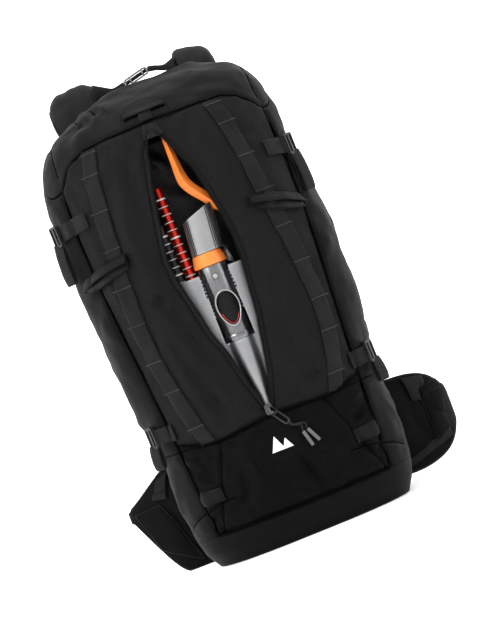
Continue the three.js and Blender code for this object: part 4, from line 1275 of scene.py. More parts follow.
def make_lid_patch():
    """A hooded slot on the lid: an arched hood above, a flat flap below and a webbing loop in the slot, with
    painted shade as a near-black sheet in the slot and a near-black line round the hood.
    """
    z, u = mesh_of(PATCH_SLOT - 0.001, PATCH_TOP - 0.0003, 18, 34)
    open_edge = np.exp(-(((z - PATCH_SLOT) / 0.004) ** 2)) * (1 - u ** 4)
    cloth = snapped(LID, on_front(PATCH_X + u * patch_half(z), z), 0.0018 + 0.0040 * open_edge)
    hood = slab("lid_patch_hood", cloth, 0.0010)
    z, u = mesh_of(PATCH_LOW, PATCH_SLOT + 0.002, 12, 34)
    flap = slab("lid_patch_flap", snapped(LID, on_front(PATCH_X + u * patch_half(z), z), 0.0009), 0.0010)
    # A near-black sheet under the hood's open edge: painted shade in the slot.
    z, u = mesh_of(PATCH_SLOT - 0.0045, PATCH_SLOT + 0.0035, 8, 30)
    inside = snapped(LID, on_front(PATCH_X + 0.93 * PATCH_HALF * u, z), 0.0013)
    settle(slab("lid_slot_shade", inside, 0.0008), "lid", SEAM_SHADE, "matt_fabric")
    settle(hood, "lid", MATT, "matt_fabric", "lid_patch")
    settle(flap, "lid", MATT, "matt_fabric")

    # A near-black line round the hood's arched edge: painted shade.
    count = 30
    rise = np.sin(np.linspace(0, math.pi / 2, count))
    rise = np.concatenate([rise, rise[-2::-1]])
    side = np.where(np.arange(len(rise)) < count, -1, 1)
    z = PATCH_SPRING + (PATCH_TOP - PATCH_SPRING) * rise
    painted_shade_line("lid_patch_outline_shade", LID, on_front(PATCH_X + side * patch_half(z), z), "lid", 0.0009)

    count = 24
    z = np.linspace(PATCH_SPRING + 0.001, PATCH_TOP - 0.0021, count)
    z = np.concatenate([z, z[::-1]])
    side = np.where(np.arange(len(z)) < count, -1, 1)
    inset = 0.0022 * np.clip((PATCH_TOP - z) / 0.004, 0, 1)
    line = snapped(LID, on_front(PATCH_X + side * (patch_half(z) - inset), z)[None], 0.0017)[0]
    stitches("lid_patch_stitches", line, outward(line), "lid", "matt_fabric")

    low, high = 0.5352, 0.5505
    z, u = mesh_of(low, high, 16, 5)
    bulge = 0.00132 * np.sin(math.pi * (z - low) / (high - low))
    loop = slab("lid_loop_webbing", snapped(LID, on_front(PATCH_X + 0.0078 * u, z), 0.0020 + bulge), 0.0011)
    settle(loop, "lid", WEBBING, "webbing")


# x and z along the painted shade line of each deep crease, in millimetres, and its half width in the middle
LID_CREASES = [
    ((-95, 578), (-86, 569), (-76, 558), 1.5), ((-88, 563), (-80, 566), (-70, 571), 1.1),
    ((-70, 581), (-63, 573), (-58, 562), 1.5), ((-66, 566), (-60, 569), (-50, 570), 1.0),
    ((-104, 560), (-96, 562), (-86, 569), 0.8), ((-52, 575), (-47, 566), (-45, 556), 0.8),
]
FRONT_CREASES = [
    ((-74, 342), (-69, 334), (-60, 330), 0.9), ((-61, 214), (-52, 196), (-44, 172), 0.9),
    ((-58, 300), (-50, 270), (-44, 246), 0.8), ((64, 196), (72, 182), (82, 168), 0.9),
    ((52, 246), (57, 228), (58, 206), 0.8), ((-36, 500), (-44, 470), (-46, 444), 0.8),
]
POCKET_CREASES = [
    ((12, 104), (18, 84), (26, 54), 1.2), ((24, 92), (27, 76), (26, 58), 0.8),
    ((-44, 132), (-36, 100), (-30, 66), 0.9), ((-72, 74), (-64, 66), (-50, 58), 0.9),
    ((56, 128), (62, 100), (66, 70), 0.9), ((34, 62), (46, 55), (62, 52), 0.8),
    ((-96, 128), (-90, 118), (-78, 112), 0.9), ((92, 122), (98, 112), (108, 108), 0.9),
    ((-104, 96), (-100, 84), (-92, 74), 0.9), ((96, 94), (102, 84), (112, 82), 0.8),
]


def make_painted_crease_lines():
    """Painted shade in deep creases of the cloth: each a thin near-black line that is widest in the middle."""
    share = np.linspace(0, 1, 26)
    for group, crease_shade_lines, tree, body in (
        ("lid", LID_CREASES, LID, "lid"), ("front", FRONT_CREASES, FRONT, "pack"),
        ("pocket", POCKET_CREASES, FRONT, "pack"),
    ):
        parts = []
        for *points, width in crease_shade_lines:
            start, middle, end = (np.array(point) / 1000 for point in points)
            bend = 2 * middle - (start + end) / 2
            flat = [(1 - s) ** 2 * start + 2 * s * (1 - s) * bend + s * s * end for s in share]
            x, z = np.array(flat).T
            path = snapped(tree, on_front(x, z)[None], -0.0004 - width * 0.0003)[0]
            radius = width / 1000 * (0.12 + 0.88 * np.sin(math.pi * share) ** 1.2)
            parts.append(tube("crease", path, radius, 8))
        settle(joined(f"{group}_creases", parts), body, SEAM_SHADE, "matt_fabric")


def make_zip_garage():
    """The tab over the top of the zip, with a small stop at each lower corner."""
    low, high = 0.5125, 0.5305
    z, u = mesh_of(low, high, 16, 14)
    half = 0.0085 + (high - z) / (high - low) * 0.0042
    grid = on_front(-0.0038 + half * u, z)
    dome = 0.0014 * (1 - u ** 2) * np.sin(math.pi * np.clip((z - 0.5105) / 0.022, 0, 1))
    tab = slab("zip_garage_tab", snapped(FRONT, grid, 0.0018 + dome), 0.0012)
    settle(tab, "pack", WEBBING, "webbing", "zip_garage")
    for name, x in (("left", -0.0150), ("right", 0.0078)):
        place = snapped(FRONT, on_front(np.array([[x]]), np.array([[0.5155]])), 0.0024)[0, 0]
        stop = box_mesh(f"zip_stop_{name}", (0.0026, 0.0018, 0.0052), place, bevel=0.0005)
        settle(stop, "pack", THREAD, "grey_plastic")


def make_tool_flap(side, name, points, velcro):
    """A strap folded into a loop and held shut by hook-and-loop: its lower edge gapes."""
    (x0, z0), (x1, z1) = points
    tall = 0.0098  # half its height
    share = np.linspace(0, 1, 34)[:, None]
    tip = np.sqrt(np.clip(1 - np.clip((share - 0.88) / 0.12, 0, 1) ** 2, 0.03, 1))
    gape = np.sin(math.pi * np.clip(0.12 + 0.86 * share, 0, 1)) ** 0.7
    line_x = x0 + (x1 - x0) * share
    line_z = z0 + (z1 - z0) * share + 0.0022 * np.sin(math.pi * share)
    parts = []
    for start, end, lift, base in ((1.0, -0.12, 0.0085, 0.0040), (0.9, -1.15, 0.0012, 0.0034)):
        v = np.linspace(start, end, 12)[None]
        deep = (start - v) / (start - end)
        height = base + 0.0020 * share + lift * gape * np.sin(deep * math.pi / 2)
        drop = tall * v * tip * np.where(v < 0, 0.45 + 0.55 * gape, 1)
        grid = on_front(line_x, line_z + drop)
        parts.append(snapped(SIDES, grid, height))
    hood, back = parts if side > 0 else [grid[::-1] for grid in parts]
    body = f"flap_{name}"
    settle(slab(f"tool_flap_{name}_strap", hood, 0.0011), body, FLAP_WEB, "webbing", f"tool_flap_{name}")
    settle(slab(f"tool_flap_{name}_inside", back, 0.0011), body, LINING, "webbing")
    edge = np.concatenate([back[:, -1], back[::-1, 0][:1]]) if side > 0 else back[:, -1]
    settle(tube(f"tool_flap_{name}_hem", edge, 0.0012, 8), body, TAPE, "webbing")
    settle(tube(f"tool_flap_{name}_lip", hood[:, -1], 0.0010, 8), body, TAPE, "webbing")
    (vx0, vx1), (vz0, vz1) = velcro
    z, x = mesh_of(vz0, vz1, 10, 16, vx0, vx1)
    hooks = slab(f"tool_flap_{name}_velcro", snapped(SIDES, on_front(x, z), 0.0062), 0.0016)
    settle(hooks, body, VELCRO, "webbing")


def resampled(points, count):
    """This many points evenly along a smooth line through the given ones."""
    fine = np.array([tuple(p) for p in curve_through(points, 16)])
    run = run_along(fine)
    return rows_at(np.linspace(0, run[-1], count), run, fine)


def strap_line(z, turns, out):
    """A line round the pack at one height, this far off the surface."""
    points = surface(z, turns)
    return points + outward(points) * np.asarray(out)[..., None]


def ribbon(name, centre, across, width, thick):
    """Flat webbing along a line, with its width along `across` at every point."""
    centre, across = np.asarray(centre, float), np.asarray(across, float)
    across = np.broadcast_to(across, centre.shape)
    across = across / np.linalg.norm(across, axis=1, keepdims=True)
    u = np.linspace(-0.5, 0.5, 5) * width
    grid = centre[:, None] + across[:, None] * u[None, :, None]
    lift = normals_of(grid) * (thick / 2)
    return slab(name, grid + lift, thick)


# distance out from the buckle, share of the tail's drop
TAIL_LOOP = (
    (0, 0), (0.0030, 0.3), (0.0044, 0.75), (0.0022, 1.0), (-0.0012, 0.8), (-0.0018, 0.4), (-0.001, 0.1),
)
SIDE_STRAP = (0.020, 0.0014)  # width and thickness


def make_compression_strap(level, height, side, name):
    """Webbing sewn to the front, through a ladder-lock and round the side, its tail tucked back in a loop."""
    label = f"{level}_{name}"
    low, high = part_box(f"compression_buckle_{label}")
    mid = np.array((low + high) / 2)
    front_turn = float(turn_at_x(side * 0.113, height))
    lock_turn = -0.42 if side > 0 else -math.pi + 0.42
    back_turn = float(turn_at_back_seam(np.array(height), side)) - side * 0.10
    first = np.linspace(front_turn, lock_turn - side * 0.055, 16)
    tilt = np.linspace(0, 1, 16)
    line = strap_line(height, first, 0.0030 + 0.0012 * tilt)
    line[:, 2] += (0.004 if level == "upper" else -0.002) * (1 - tilt)
    centre = snapped(SIDES, line[None], 0.0026 + 0.0016 * tilt[None])[0]
    tab = ribbon(f"compression_tab_{label}", centre, (0, 0, 1), *SIDE_STRAP)
    second = np.linspace(lock_turn + side * 0.075, back_turn, 40)
    centre = snapped(SIDES, strap_line(height, second, np.full(40, 0.002))[None], 0.0022)[0]
    settle(tab, "pack", WEBBING, "webbing", f"compression_strap_{label}")
    round_side = ribbon(f"compression_webbing_{label}", centre, (0, 0, 1), *SIDE_STRAP)
    settle(round_side, "pack", WEBBING, "webbing")
    down = 0.052 if level == "upper" else 0.030
    facing, along = np.array([side * 0.74, -0.67, 0]), np.array([side * 0.67, 0.74, 0])
    start = mid + facing * 0.0020 + np.array([0, 0.002, -0.009])
    knots = [start + facing * out - np.array([0, 0, down * share]) for out, share in TAIL_LOOP]
    tail = [tuple(p) for p in curve_through(knots, 8)]
    settle(ribbon(f"compression_tail_{label}", tail, along, 0.017, 0.0016), "pack", WEBBING, "webbing")
    refined(f"ladder_lock_{label}", f"compression_buckle_{label}", f"lock_{label}", 0.0009, PLASTIC)


make_daisy_chain(-1, "left", DAISY_LEFT)
make_daisy_chain(1, "right", DAISY_RIGHT)
make_zip_tape(-1, "left")
make_zip_tape(1, "right")
make_seam_stitches()
make_seam_shades_and_hinge_binding()
make_painted_crease_lines()
make_lid_patch()
make_zip_garage()
make_tool_flap(-1, "left", ((-0.088, 0.3875), (-0.147, 0.3735)), ((-0.112, -0.087), (0.381, 0.396)))
make_tool_flap(1, "right", ((0.074, 0.3965), (0.133, 0.3745)), ((0.073, 0.091), (0.389, 0.405)))
for level, height in (("upper", 0.447), ("lower", 0.178)):
    for side, name in ((-1, "left"), (1, "right")):
        make_compression_strap(level, height, side, name)


def make_pocket_tabs():
    """Short webbing tabs across the bellows at each side of the front pocket."""
    for name, x0, x1, z0, z1 in (
        ("left", -0.110, -0.086, 0.0885, 0.0865), ("right", 0.085, 0.112, 0.0900, 0.0920),
    ):
        u = np.linspace(0, 1, 18)[:, None]
        across = np.linspace(-0.0085, 0.0085, 5)[None]
        grid = on_front(x0 + (x1 - x0) * u, z0 + (z1 - z0) * u + across)
        tab = slab(f"pocket_tab_{name}", snapped(SIDES, grid, 0.0016), 0.0013)
        face_out(tab)
        settle(tab, "pack", TAPE, "webbing")
        for end in (0.04, 0.96):
            x = x0 + (x1 - x0) * end
            line = on_front(np.full(20, x), np.linspace(z0 - 0.0075, z0 + 0.0075, 20))
            stitched_line(f"pocket_tab_{name}_stitch_{int(end * 100)}", SIDES, line, out=0.0019)


def make_mark():
    """A plain embroidered mark: two peaks."""
    peaks = ((-0.0052, 0.1090, 0.0085, 0.0185), (0.0066, 0.1090, 0.0066, 0.0125))
    pieces = []
    for index, (x, low, half, tall) in enumerate(peaks):
        v = np.linspace(0.02, 1, 16)[:, None]
        u = np.linspace(-1, 1, 13)[None]
        grid = on_front(x + half * u * (1.02 - v), low + tall * v)
        piece = slab(f"mark_{index}", snapped(SIDES, grid, 0.0007), 0.0006)
        face_out(piece)
        pieces.append(piece)
    settle(joined("pocket_mark", pieces), "pack", MARK, "webbing")


make_pocket_tabs()
make_mark()

# ---------------------------------------------------------------- stowed tools


def revolved(name, profile, centre, sides=64):
    """A closed ring: a closed profile of (radius, height) turned about +Z."""
    points = []
    for k in range(sides):
        a = 2 * math.pi * k / sides
        points += [(centre[0] + r * math.cos(a), centre[1] + r * math.sin(a), z) for r, z in profile]
    faces = ring_sweep(sides, len(profile), closed=True)
    piece = mesh_object(name, points, faces)
    face_out(piece)
    smooth_by_angle(piece)
    return piece


def prism(name, outline, y0, y1):
    """A solid with this outline in x and z, between two values of y."""
    count = len(outline)
    points = [(x, y, z) for y in (y0, y1) for x, z in outline]
    faces = [tuple(range(count)), tuple(range(2 * count - 1, count - 1, -1))]
    faces += [(i, count + i, count + (i + 1) % count, (i + 1) % count) for i in range(count)]
    piece = mesh_object(name, points, faces)
    face_out(piece)
    return piece


SOCKET_X, SOCKET_Y, SOCKET_RADIUS = 0.002, -0.086, 0.018
SOCKET_AXIS = (SOCKET_X, SOCKET_Y)
SOCKET_LOW, SOCKET_HIGH = 0.2504, 0.3496
WINDOW_Z, BUTTON_Z = 0.290, 0.331


def egg(count, grow=0.0):
    """Outline of the socket's window, narrower at the top."""
    angles = np.linspace(0, 2 * math.pi, count, endpoint=False)
    wide = 0.0132 + 0.0020 * np.sin(angles)
    return np.stack([
        SOCKET_X + 0.0010 + (wide + grow) * np.cos(angles),
        WINDOW_Z + (0.0214 + grow) * np.sin(angles),
    ], axis=-1)


def round_front(points, radius):
    """Points in x and z pushed onto the front of a cylinder round the socket's axis."""
    x = points[:, 0]
    y = SOCKET_Y - np.sqrt(np.maximum(radius ** 2 - (x - SOCKET_X) ** 2, 0))
    return np.stack([x, y, points[:, 1]], axis=-1)


def make_socket():
    """A tube with a foot, an egg-shaped window with a rim and a red line in it, a lock button and ribs."""
    r, low, high = SOCKET_RADIUS, SOCKET_LOW, SOCKET_HIGH
    wall, in_front = 0.0024, -0.16
    socket = revolved("socket_tube", [
        (r - wall, low), (r, low), (r, high - 0.0012), (r - 0.0008, high), (r - wall, high),
    ], SOCKET_AXIS, 72)
    window = prism("window_cutter", [tuple(p) for p in egg(40)], in_front, SOCKET_Y)
    angles = np.linspace(0, 2 * math.pi, 28, endpoint=False)
    hole = prism("hole_cutter", [
        (SOCKET_X + 0.0039 * math.cos(a), BUTTON_Z + 0.0039 * math.sin(a)) for a in angles
    ], in_front, SOCKET_Y)
    cut(socket, window, hole)
    smooth_by_angle(socket)
    settle(socket, "pack", SOCKET_METAL, "socket_metal", "shovel_socket")
    rim = tube("socket_window_rim", round_front(egg(64, 0.0006), r + 0.0002), 0.0011, 8, closed=True)
    settle(rim, "pack", SHAFT_METAL, "socket_metal")
    foot = revolved("socket_foot", [
        (r + 0.0001, low), (r + 0.0010, low + 0.0004), (r + 0.0016, low + 0.0020),
        (r + 0.0016, low + 0.0062), (r + 0.0008, low + 0.0076), (r + 0.0001, low + 0.0078),
    ], SOCKET_AXIS, 72)
    settle(foot, "pack", SOCKET_METAL, "socket_metal")
    inner = revolved("socket_liner", [
        (r - 0.0052, low + 0.002), (r - 0.0030, low + 0.002), (r - 0.0030, high - 0.004),
        (r - 0.0052, high - 0.004),
    ], SOCKET_AXIS, 40)
    settle(inner, "pack", THREAD, "socket_metal")
    arc = egg(64, -0.0022)[34:60]
    line = tube("socket_window_line", round_front(arc, r - wall), 0.00045, 6)
    settle(line, "pack", RED_PLASTIC, "socket_metal")
    button = revolved("shovel_button_piece", [
        (0.0001, -0.0052), (0.0033, -0.0052), (0.0033, 0.0008), (0.0027, 0.0014), (0.0001, 0.0010),
    ], (0, 0), 32)
    spot = Matrix.Translation((SOCKET_X, SOCKET_Y - r + 0.0002, BUTTON_Z))
    button.data.transform(spot @ Matrix.Rotation(math.pi / 2, 4, "X"))
    settle(button, "lock_button", SHAFT_METAL, "shovel_metal", "shovel_button")
    ribs = []
    for side in (-1, 1):
        for k in range(11):
            place = (SOCKET_X + side * (r + 0.0006), SOCKET_Y - 0.004, 0.286 + k * 0.0046)
            ribs.append(box_mesh(f"rib_{side}_{k}", (0.0030, 0.0050, 0.0030), place, 0.0005, 1))
    settle(joined("socket_ribs", ribs), "pack", SHAFT_METAL, "socket_metal")


def make_collar():
    """The orange collar at the socket's upper end."""
    r, high, bore = SOCKET_RADIUS, SOCKET_HIGH, 0.0143
    collar = revolved("shovel_collar_ring", [
        (bore, high + 0.0005), (r + 0.0003, high + 0.0005), (r + 0.0003, high - 0.0040),
        (r + 0.0022, high - 0.0042), (r + 0.0026, high - 0.0020), (r + 0.0016, high + 0.0040),
        (r - 0.0002, high + 0.0108), (r - 0.0012, high + 0.0114), (bore, high + 0.0114),
    ], SOCKET_AXIS, 72)
    settle(collar, "pack", ORANGE, "orange_plastic", "shovel_collar")


SHAFT_LOW = SOCKET_HIGH + 0.0122
SHAFT_X, SHAFT_Y = 0.0205, 0.016  # half width and half depth


def shaft_x(x, z):
    """Where a place this far from the shaft's middle is at this height: the shaft leans a little."""
    return 0.005 + 0.006 * (z - SHAFT_LOW) / 0.060 + x


def shaft_top(x):
    """The slanted upper end."""
    return 0.4105 + 0.34 * x


def make_shaft():
    """Oval tube with grooves down its sides and a slanted upper end."""
    sides, rows, wall = 120, 24, 0.002
    angles = np.linspace(0, 2 * math.pi, sides, endpoint=False)
    points = []
    for thin in (0.0, wall):
        x, y = (SHAFT_X - thin) * np.cos(angles), (SHAFT_Y - thin) * np.sin(angles)
        for v in np.linspace(0, 1, rows):
            z = SHAFT_LOW + (shaft_top(x) - SHAFT_LOW) * v
            points += list(np.stack([shaft_x(x, z), SOCKET_Y + y, z], axis=-1))
    count = rows * sides
    faces = []
    for k in range(sides):
        m = (k + 1) % sides
        for r in range(rows - 1):
            a, b, c, d = r * sides + k, r * sides + m, (r + 1) * sides + m, (r + 1) * sides + k
            faces += [(a, b, c, d), (count + d, count + c, count + b, count + a)]
        faces.append((m, k, count + k, count + m))
        top = (rows - 1) * sides
        faces.append((top + k, top + m, count + top + m, count + top + k))
    shaft = mesh_object("shovel_shaft_tube", points, faces)
    smooth_by_angle(shaft, math.radians(35))
    settle(shaft, "pack", SHAFT_METAL, "shovel_metal", "shovel_shaft")
    grooves = []
    for x in (-0.0162, -0.0142, 0.0104, 0.0126, 0.0146, 0.0164, 0.0180):
        y = SOCKET_Y - SHAFT_Y * math.sqrt(1 - (x / SHAFT_X) ** 2) - 0.00012
        heights = np.linspace(SHAFT_LOW + 0.0002, shaft_top(x) - 0.0006, 20)
        grooves.append(tube("groove", [(shaft_x(x, z), y, z) for z in heights], 0.00055, 6))
    settle(joined("shaft_grooves", grooves), "pack", PLASTIC, "shovel_metal")


def make_skirt():
    """The shaft's grooved lower corner, seen beside the collar."""
    face = SOCKET_Y - 0.0040
    outline = [(0.0222, 0.3616), (0.0226, 0.3440), (0.0306, 0.3370), (0.0276, 0.3616)]
    skirt = prism("shaft_skirt", outline, face, SOCKET_Y + 0.006)
    settle(skirt, "pack", SHAFT_METAL, "shovel_metal")
    lines = []
    for x in (0.0232, 0.0246, 0.0260):
        ends = [(x, face - 0.0001, 0.3612), (x + 0.0018, face - 0.0001, 0.3452 - 0.9 * (x - 0.0226))]
        lines.append(tube("skirt_line", ends, 0.0004, 6))
    settle(joined("skirt_grooves", lines), "pack", PLASTIC, "shovel_metal")


BLADE_LOW, BLADE_HIGH = 0.064, 0.338
BLADE_MOUTH = 0.2502  # above this the blade is open round the socket
# height, half width, how far the edges bend back
BLADE = np.array([
    [0.064, 0.084, 0.012], [0.074, 0.098, 0.017], [0.150, 0.108, 0.022], [0.290, 0.104, 0.022],
    [0.338, 0.092, 0.018],
])
# height, radius, y of the ridge's axis
RIDGE = np.array([
    [0.064, 0.0001, -0.095], [0.120, 0.0045, -0.095], [0.200, 0.0125, -0.091], [0.250, 0.0176, SOCKET_Y],
])


def blade_y(x, u, z):
    """The blade's face: a dished sheet, and below the mouth a ridge that runs into it softly."""
    sheet = -0.097 + np.interp(z, BLADE[:, 0], BLADE[:, 2]) * u * u
    if z > BLADE_MOUTH:
        return sheet
    r, axis = np.interp(z, RIDGE[:, 0], RIDGE[:, 1]), np.interp(z, RIDGE[:, 0], RIDGE[:, 2])
    gap = r * r - x * x
    ridge = axis - math.sqrt(gap) if gap > 0 else axis + (abs(x) - r) * 1.5
    soft = 0.004
    near = max(soft - abs(sheet - ridge), 0) / soft
    return min(sheet, ridge) - near * near * soft / 4


def make_blade():
    """A dished sheet with a ridge that runs up into the socket."""
    half_at = lambda z: np.interp(z, BLADE[:, 0], BLADE[:, 1])
    slot = 0.0187 / 0.104
    zs = np.unique(np.concatenate([np.linspace(BLADE_LOW, 0.250, 76), np.linspace(0.2504, BLADE_HIGH, 34)]))
    us = np.unique(np.concatenate([np.linspace(-1, 1, 101), [-slot, slot]]))
    shape = bmesh.new()
    rows = []
    for z in zs:
        xs = us * half_at(z)
        rows.append([shape.verts.new((SOCKET_X + x, blade_y(x, u, z), z)) for x, u in zip(xs, us)])
    for r in range(len(zs) - 1):
        for c in range(len(us) - 1):
            middle = (zs[r] + zs[r + 1]) / 2
            x = abs((us[c] + us[c + 1]) / 2 * half_at(middle))
            if middle > BLADE_MOUTH and x < 0.0189:
                continue
            shape.faces.new((rows[r][c], rows[r][c + 1], rows[r + 1][c + 1], rows[r + 1][c]))
    loose = [v for v in shape.verts if not v.link_faces]
    bmesh.ops.delete(shape, geom=loose, context="VERTS")
    data = bpy.data.meshes.new("shovel_blade_sheet")
    shape.to_mesh(data)
    shape.free()
    blade = bpy.data.objects.new("shovel_blade_sheet", data)
    bpy.context.scene.collection.objects.link(blade)
    solidify = blade.modifiers.new("thick", "SOLIDIFY")
    solidify.thickness = 0.0022
    solidify.offset = -1
    apply_modifiers(blade)
    face_out(blade)
    blade.data.polygons.foreach_set("use_smooth", [True] * len(blade.data.polygons))
    smooth_by_angle(blade)
    settle(blade, "pack", BLADE_METAL, "shovel_metal", "shovel_blade")


def make_probes():
    """Two probe sections with printed rings, every fifth one wider."""
    r, low, y, pitch = 0.0065, 0.070, -0.076, 0.0098
    for name, x, top, finish, slot in (
        ("red", -0.0255, 0.455, PROBE_RED, "probe_red"),
        ("black", -0.0395, 0.412, PROBE_BLACK, "probe_black"),
    ):
        rod = revolved(f"probe_{name}_tube", [
            (0.0001, low), (r - 0.0006, low), (r, low + 0.0006), (r, top - 0.0012), (r - 0.0010, top),
            (0.0001, top),
        ], (x, y), 32)
        settle(rod, "pack", finish, slot, f"probe_section_{name}")
        ticks = []
        for k in range(int((top - 0.012 - 0.20) / pitch)):
            z = top - 0.014 - k * pitch
            tall = 0.00042 if k % 5 else 0.0009
            ticks.append(revolved(f"tick_{name}_{k}", [
                (r - 0.0003, z - tall), (r + 0.00018, z - tall), (r + 0.00018, z + tall),
                (r - 0.0003, z + tall),
            ], (x, y), 24))
        settle(joined(f"probe_{name}_rings", ticks), "pack", TICK, slot)


LINING_FOLDS = [
    (-30, 500, 8, 470, 5, 4.0), (-12, 512, 2, 480, 4, -3.5), (10, 500, 26, 450, 6, 4.0),
    (-34, 470, -6, 430, 6, 4.2), (-16, 462, 20, 440, 4, -3.6), (-6, 440, 30, 425, 5, 3.6),
    (22, 470, 40, 420, 5, -3.4), (-44, 430, -20, 405, 5, 3.0), (30, 420, 52, 380, 6, 3.6),
    (36, 390, 60, 345, 5, -3.0), (-60, 400, -40, 340, 6, 3.0),
]


def make_lining():
    """The wall behind the tools: thin cloth that wrinkles between its seams."""
    z, u = mesh_of(0.048, 0.512, 90, 70)
    front, half, centre = smooth(SECTIONS, z, 3), smooth(SECTIONS, z, 2) - 0.006, smooth(SECTIONS, z, 1)
    share = np.clip((MIDDLE_Y + 0.054) / (MIDDLE_Y - front), 0, 1)
    x = centre + u * half * (1 - share ** FRONT_ROUNDNESS) ** (1 / FRONT_ROUNDNESS)
    y = -0.0525 - fold_height(x, z, LINING_FOLDS) - ripple(x, z, 61.0, 45.0, 0.0022)
    grid = np.stack([x, np.maximum(y, -0.0585), z], axis=-1)
    settle(slab("tool_lining", grid, 0.0012), "pack", LINING, "lining", "tool_divider")


# x, z down the middle of the shovel's grip, half width across it, all in millimetres
GRIP = [
    (6.5, 511, 3.2), (7.0, 500, 3.8), (7.6, 486, 4.6), (8.0, 472, 5.4), (8.4, 460, 6.4), (10.0, 449, 7.2),
    (15.5, 438.5, 7.2), (23.0, 428.5, 7.0), (30.0, 418.5, 6.6), (35.5, 409.0, 5.6), (38.5, 403.0, 4.6),
]
# share of the half width, y from the grip's middle, round its section
GRIP_SECTION = [
    (-1.0, -0.0060), (-0.97, -0.0082), (-0.86, -0.0092), (-0.30, -0.0110), (-0.16, -0.0116), (0.0, -0.0117),
    (0.12, -0.0115), (0.78, -0.0072), (0.93, -0.0062), (1.0, -0.0045), (1.0, 0.0085), (0.9, 0.0105),
    (-0.9, 0.0105), (-1.0, 0.0085),
]
GRIP_Y = -0.082


def make_handle():
    """A bent grip: a ridge runs down its front, so that it shows a lit side and a shaded one."""
    steps = 60
    table = np.array(GRIP) / 1000
    line = resampled([(x, 0, z) for x, z, _ in table], steps)
    half = np.interp(np.linspace(0, 1, steps), np.linspace(0, 1, len(table)), table[:, 2])
    way = np.gradient(line, axis=0)
    way /= np.linalg.norm(way, axis=1, keepdims=True)
    across = np.stack([-way[:, 2], np.zeros(steps), way[:, 0]], axis=-1)
    points = []
    for i in range(steps):
        ease = min(1.0, 0.55 + 0.15 * min(i, steps - 1 - i))
        for u, y in GRIP_SECTION:
            deep = np.array([0, GRIP_Y + y * (0.85 + 0.15 * ease), 0])
            points.append(line[i] + across[i] * (u * half[i] * ease) + deep)
    count = len(GRIP_SECTION)
    faces = ring_sweep(steps, count)
    faces += [tuple(range(count)), tuple((steps - 1) * count + k for k in range(count))[::-1]]
    grip = mesh_object("shovel_grip", points, faces)
    face_out(grip)
    smooth_by_angle(grip, math.radians(30))
    settle(grip, "pack", ORANGE, "orange_plastic", "shovel_handle")


make_socket()
make_collar()
make_shaft()
make_skirt()
make_blade()
make_probes()
make_lining()
make_handle()
refined("zip_slider_body", "zip_slider", "slider", 0.0006, DARK_METAL)
refined("zip_pull_ring", "zip_pull", "pull", 0.0006, DARK_METAL)

# ---------------------------------------------------------------- airbag system


def make_airbag():
    """The folded airbag: concertina layers under the lid."""
    low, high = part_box("airbag_folded")
    mid_y = (low.y + high.y) / 2
    rows, count = 60, 96
    rings = []
    for u in np.linspace(-1, 1, rows):
        round_end = (1 - abs(u) ** 6) ** 0.25 if abs(u) < 1 else 0.02
        ring = []
        for a in np.linspace(0, 2 * math.pi, count, endpoint=False):
            c, s = math.cos(a), math.sin(a)
            y = (high.y - low.y) / 2 * math.copysign(abs(c) ** 0.35, c) * (0.80 + 0.19 * round_end)
            z = (high.z - low.z) / 2 * math.copysign(abs(s) ** 0.45, s) * (0.55 + 0.44 * round_end)
            pleat = 0.0016 * math.sin(2 * math.pi * y / 0.0092 + 0.6 * math.sin(5 * u)) * abs(s)
            wave = 0.0012 * noise.noise(Vector((u * 4, y * 30, 3.0)))
            z = z * 0.90 + pleat + wave
            ring.append((u * (high.x - low.x) / 2 * 0.985, mid_y + y * 0.97, (low.z + high.z) / 2 + z))
        rings.append(ring)
    points = [p for ring in rings for p in ring]
    faces = [tuple(range(count)), tuple(range(rows * count - 1, (rows - 1) * count - 1, -1))]
    faces += ring_sweep(rows, count)
    bag = mesh_object("airbag_pack", points, faces)
    face_out(bag)
    settle(bag, "pack", AIRBAG, "airbag_fabric", "airbag_folded")
    line = [
        (0.0, low.y + 0.006 + 0.055 * t, high.z + 0.0005 + 0.0006 * math.sin(9 * t))
        for t in np.linspace(0, 1, 16)
    ]
    settle(ribbon("airbag_tether", line, (1, 0, 0), 0.020, 0.0012), "pack", WEBBING, "webbing")


make_airbag()
for piece_name, node, body, bevel, finish, slot in (
    ("inflator_case", "inflator_housing", "pack", 0.0018, PLASTIC, "black_plastic"),
    ("inflator_wheel", "inflator_impeller", "impeller", 0.0004, CORD_END, "black_plastic"),
    ("inflator_power_button", "inflator_button", "power_button", 0.0008, ORANGE, "orange_plastic"),
    ("frame_sheet_plate", "frame_sheet", "pack", 0.0008, SHEET_PLASTIC, "black_plastic"),
):
    refined(piece_name, node, body, bevel, finish)

# ---------------------------------------------------------------- padded harness

COVER_REACH = 0.006  # how far the cover may swell off its foam
COVER_FRAMES = 20


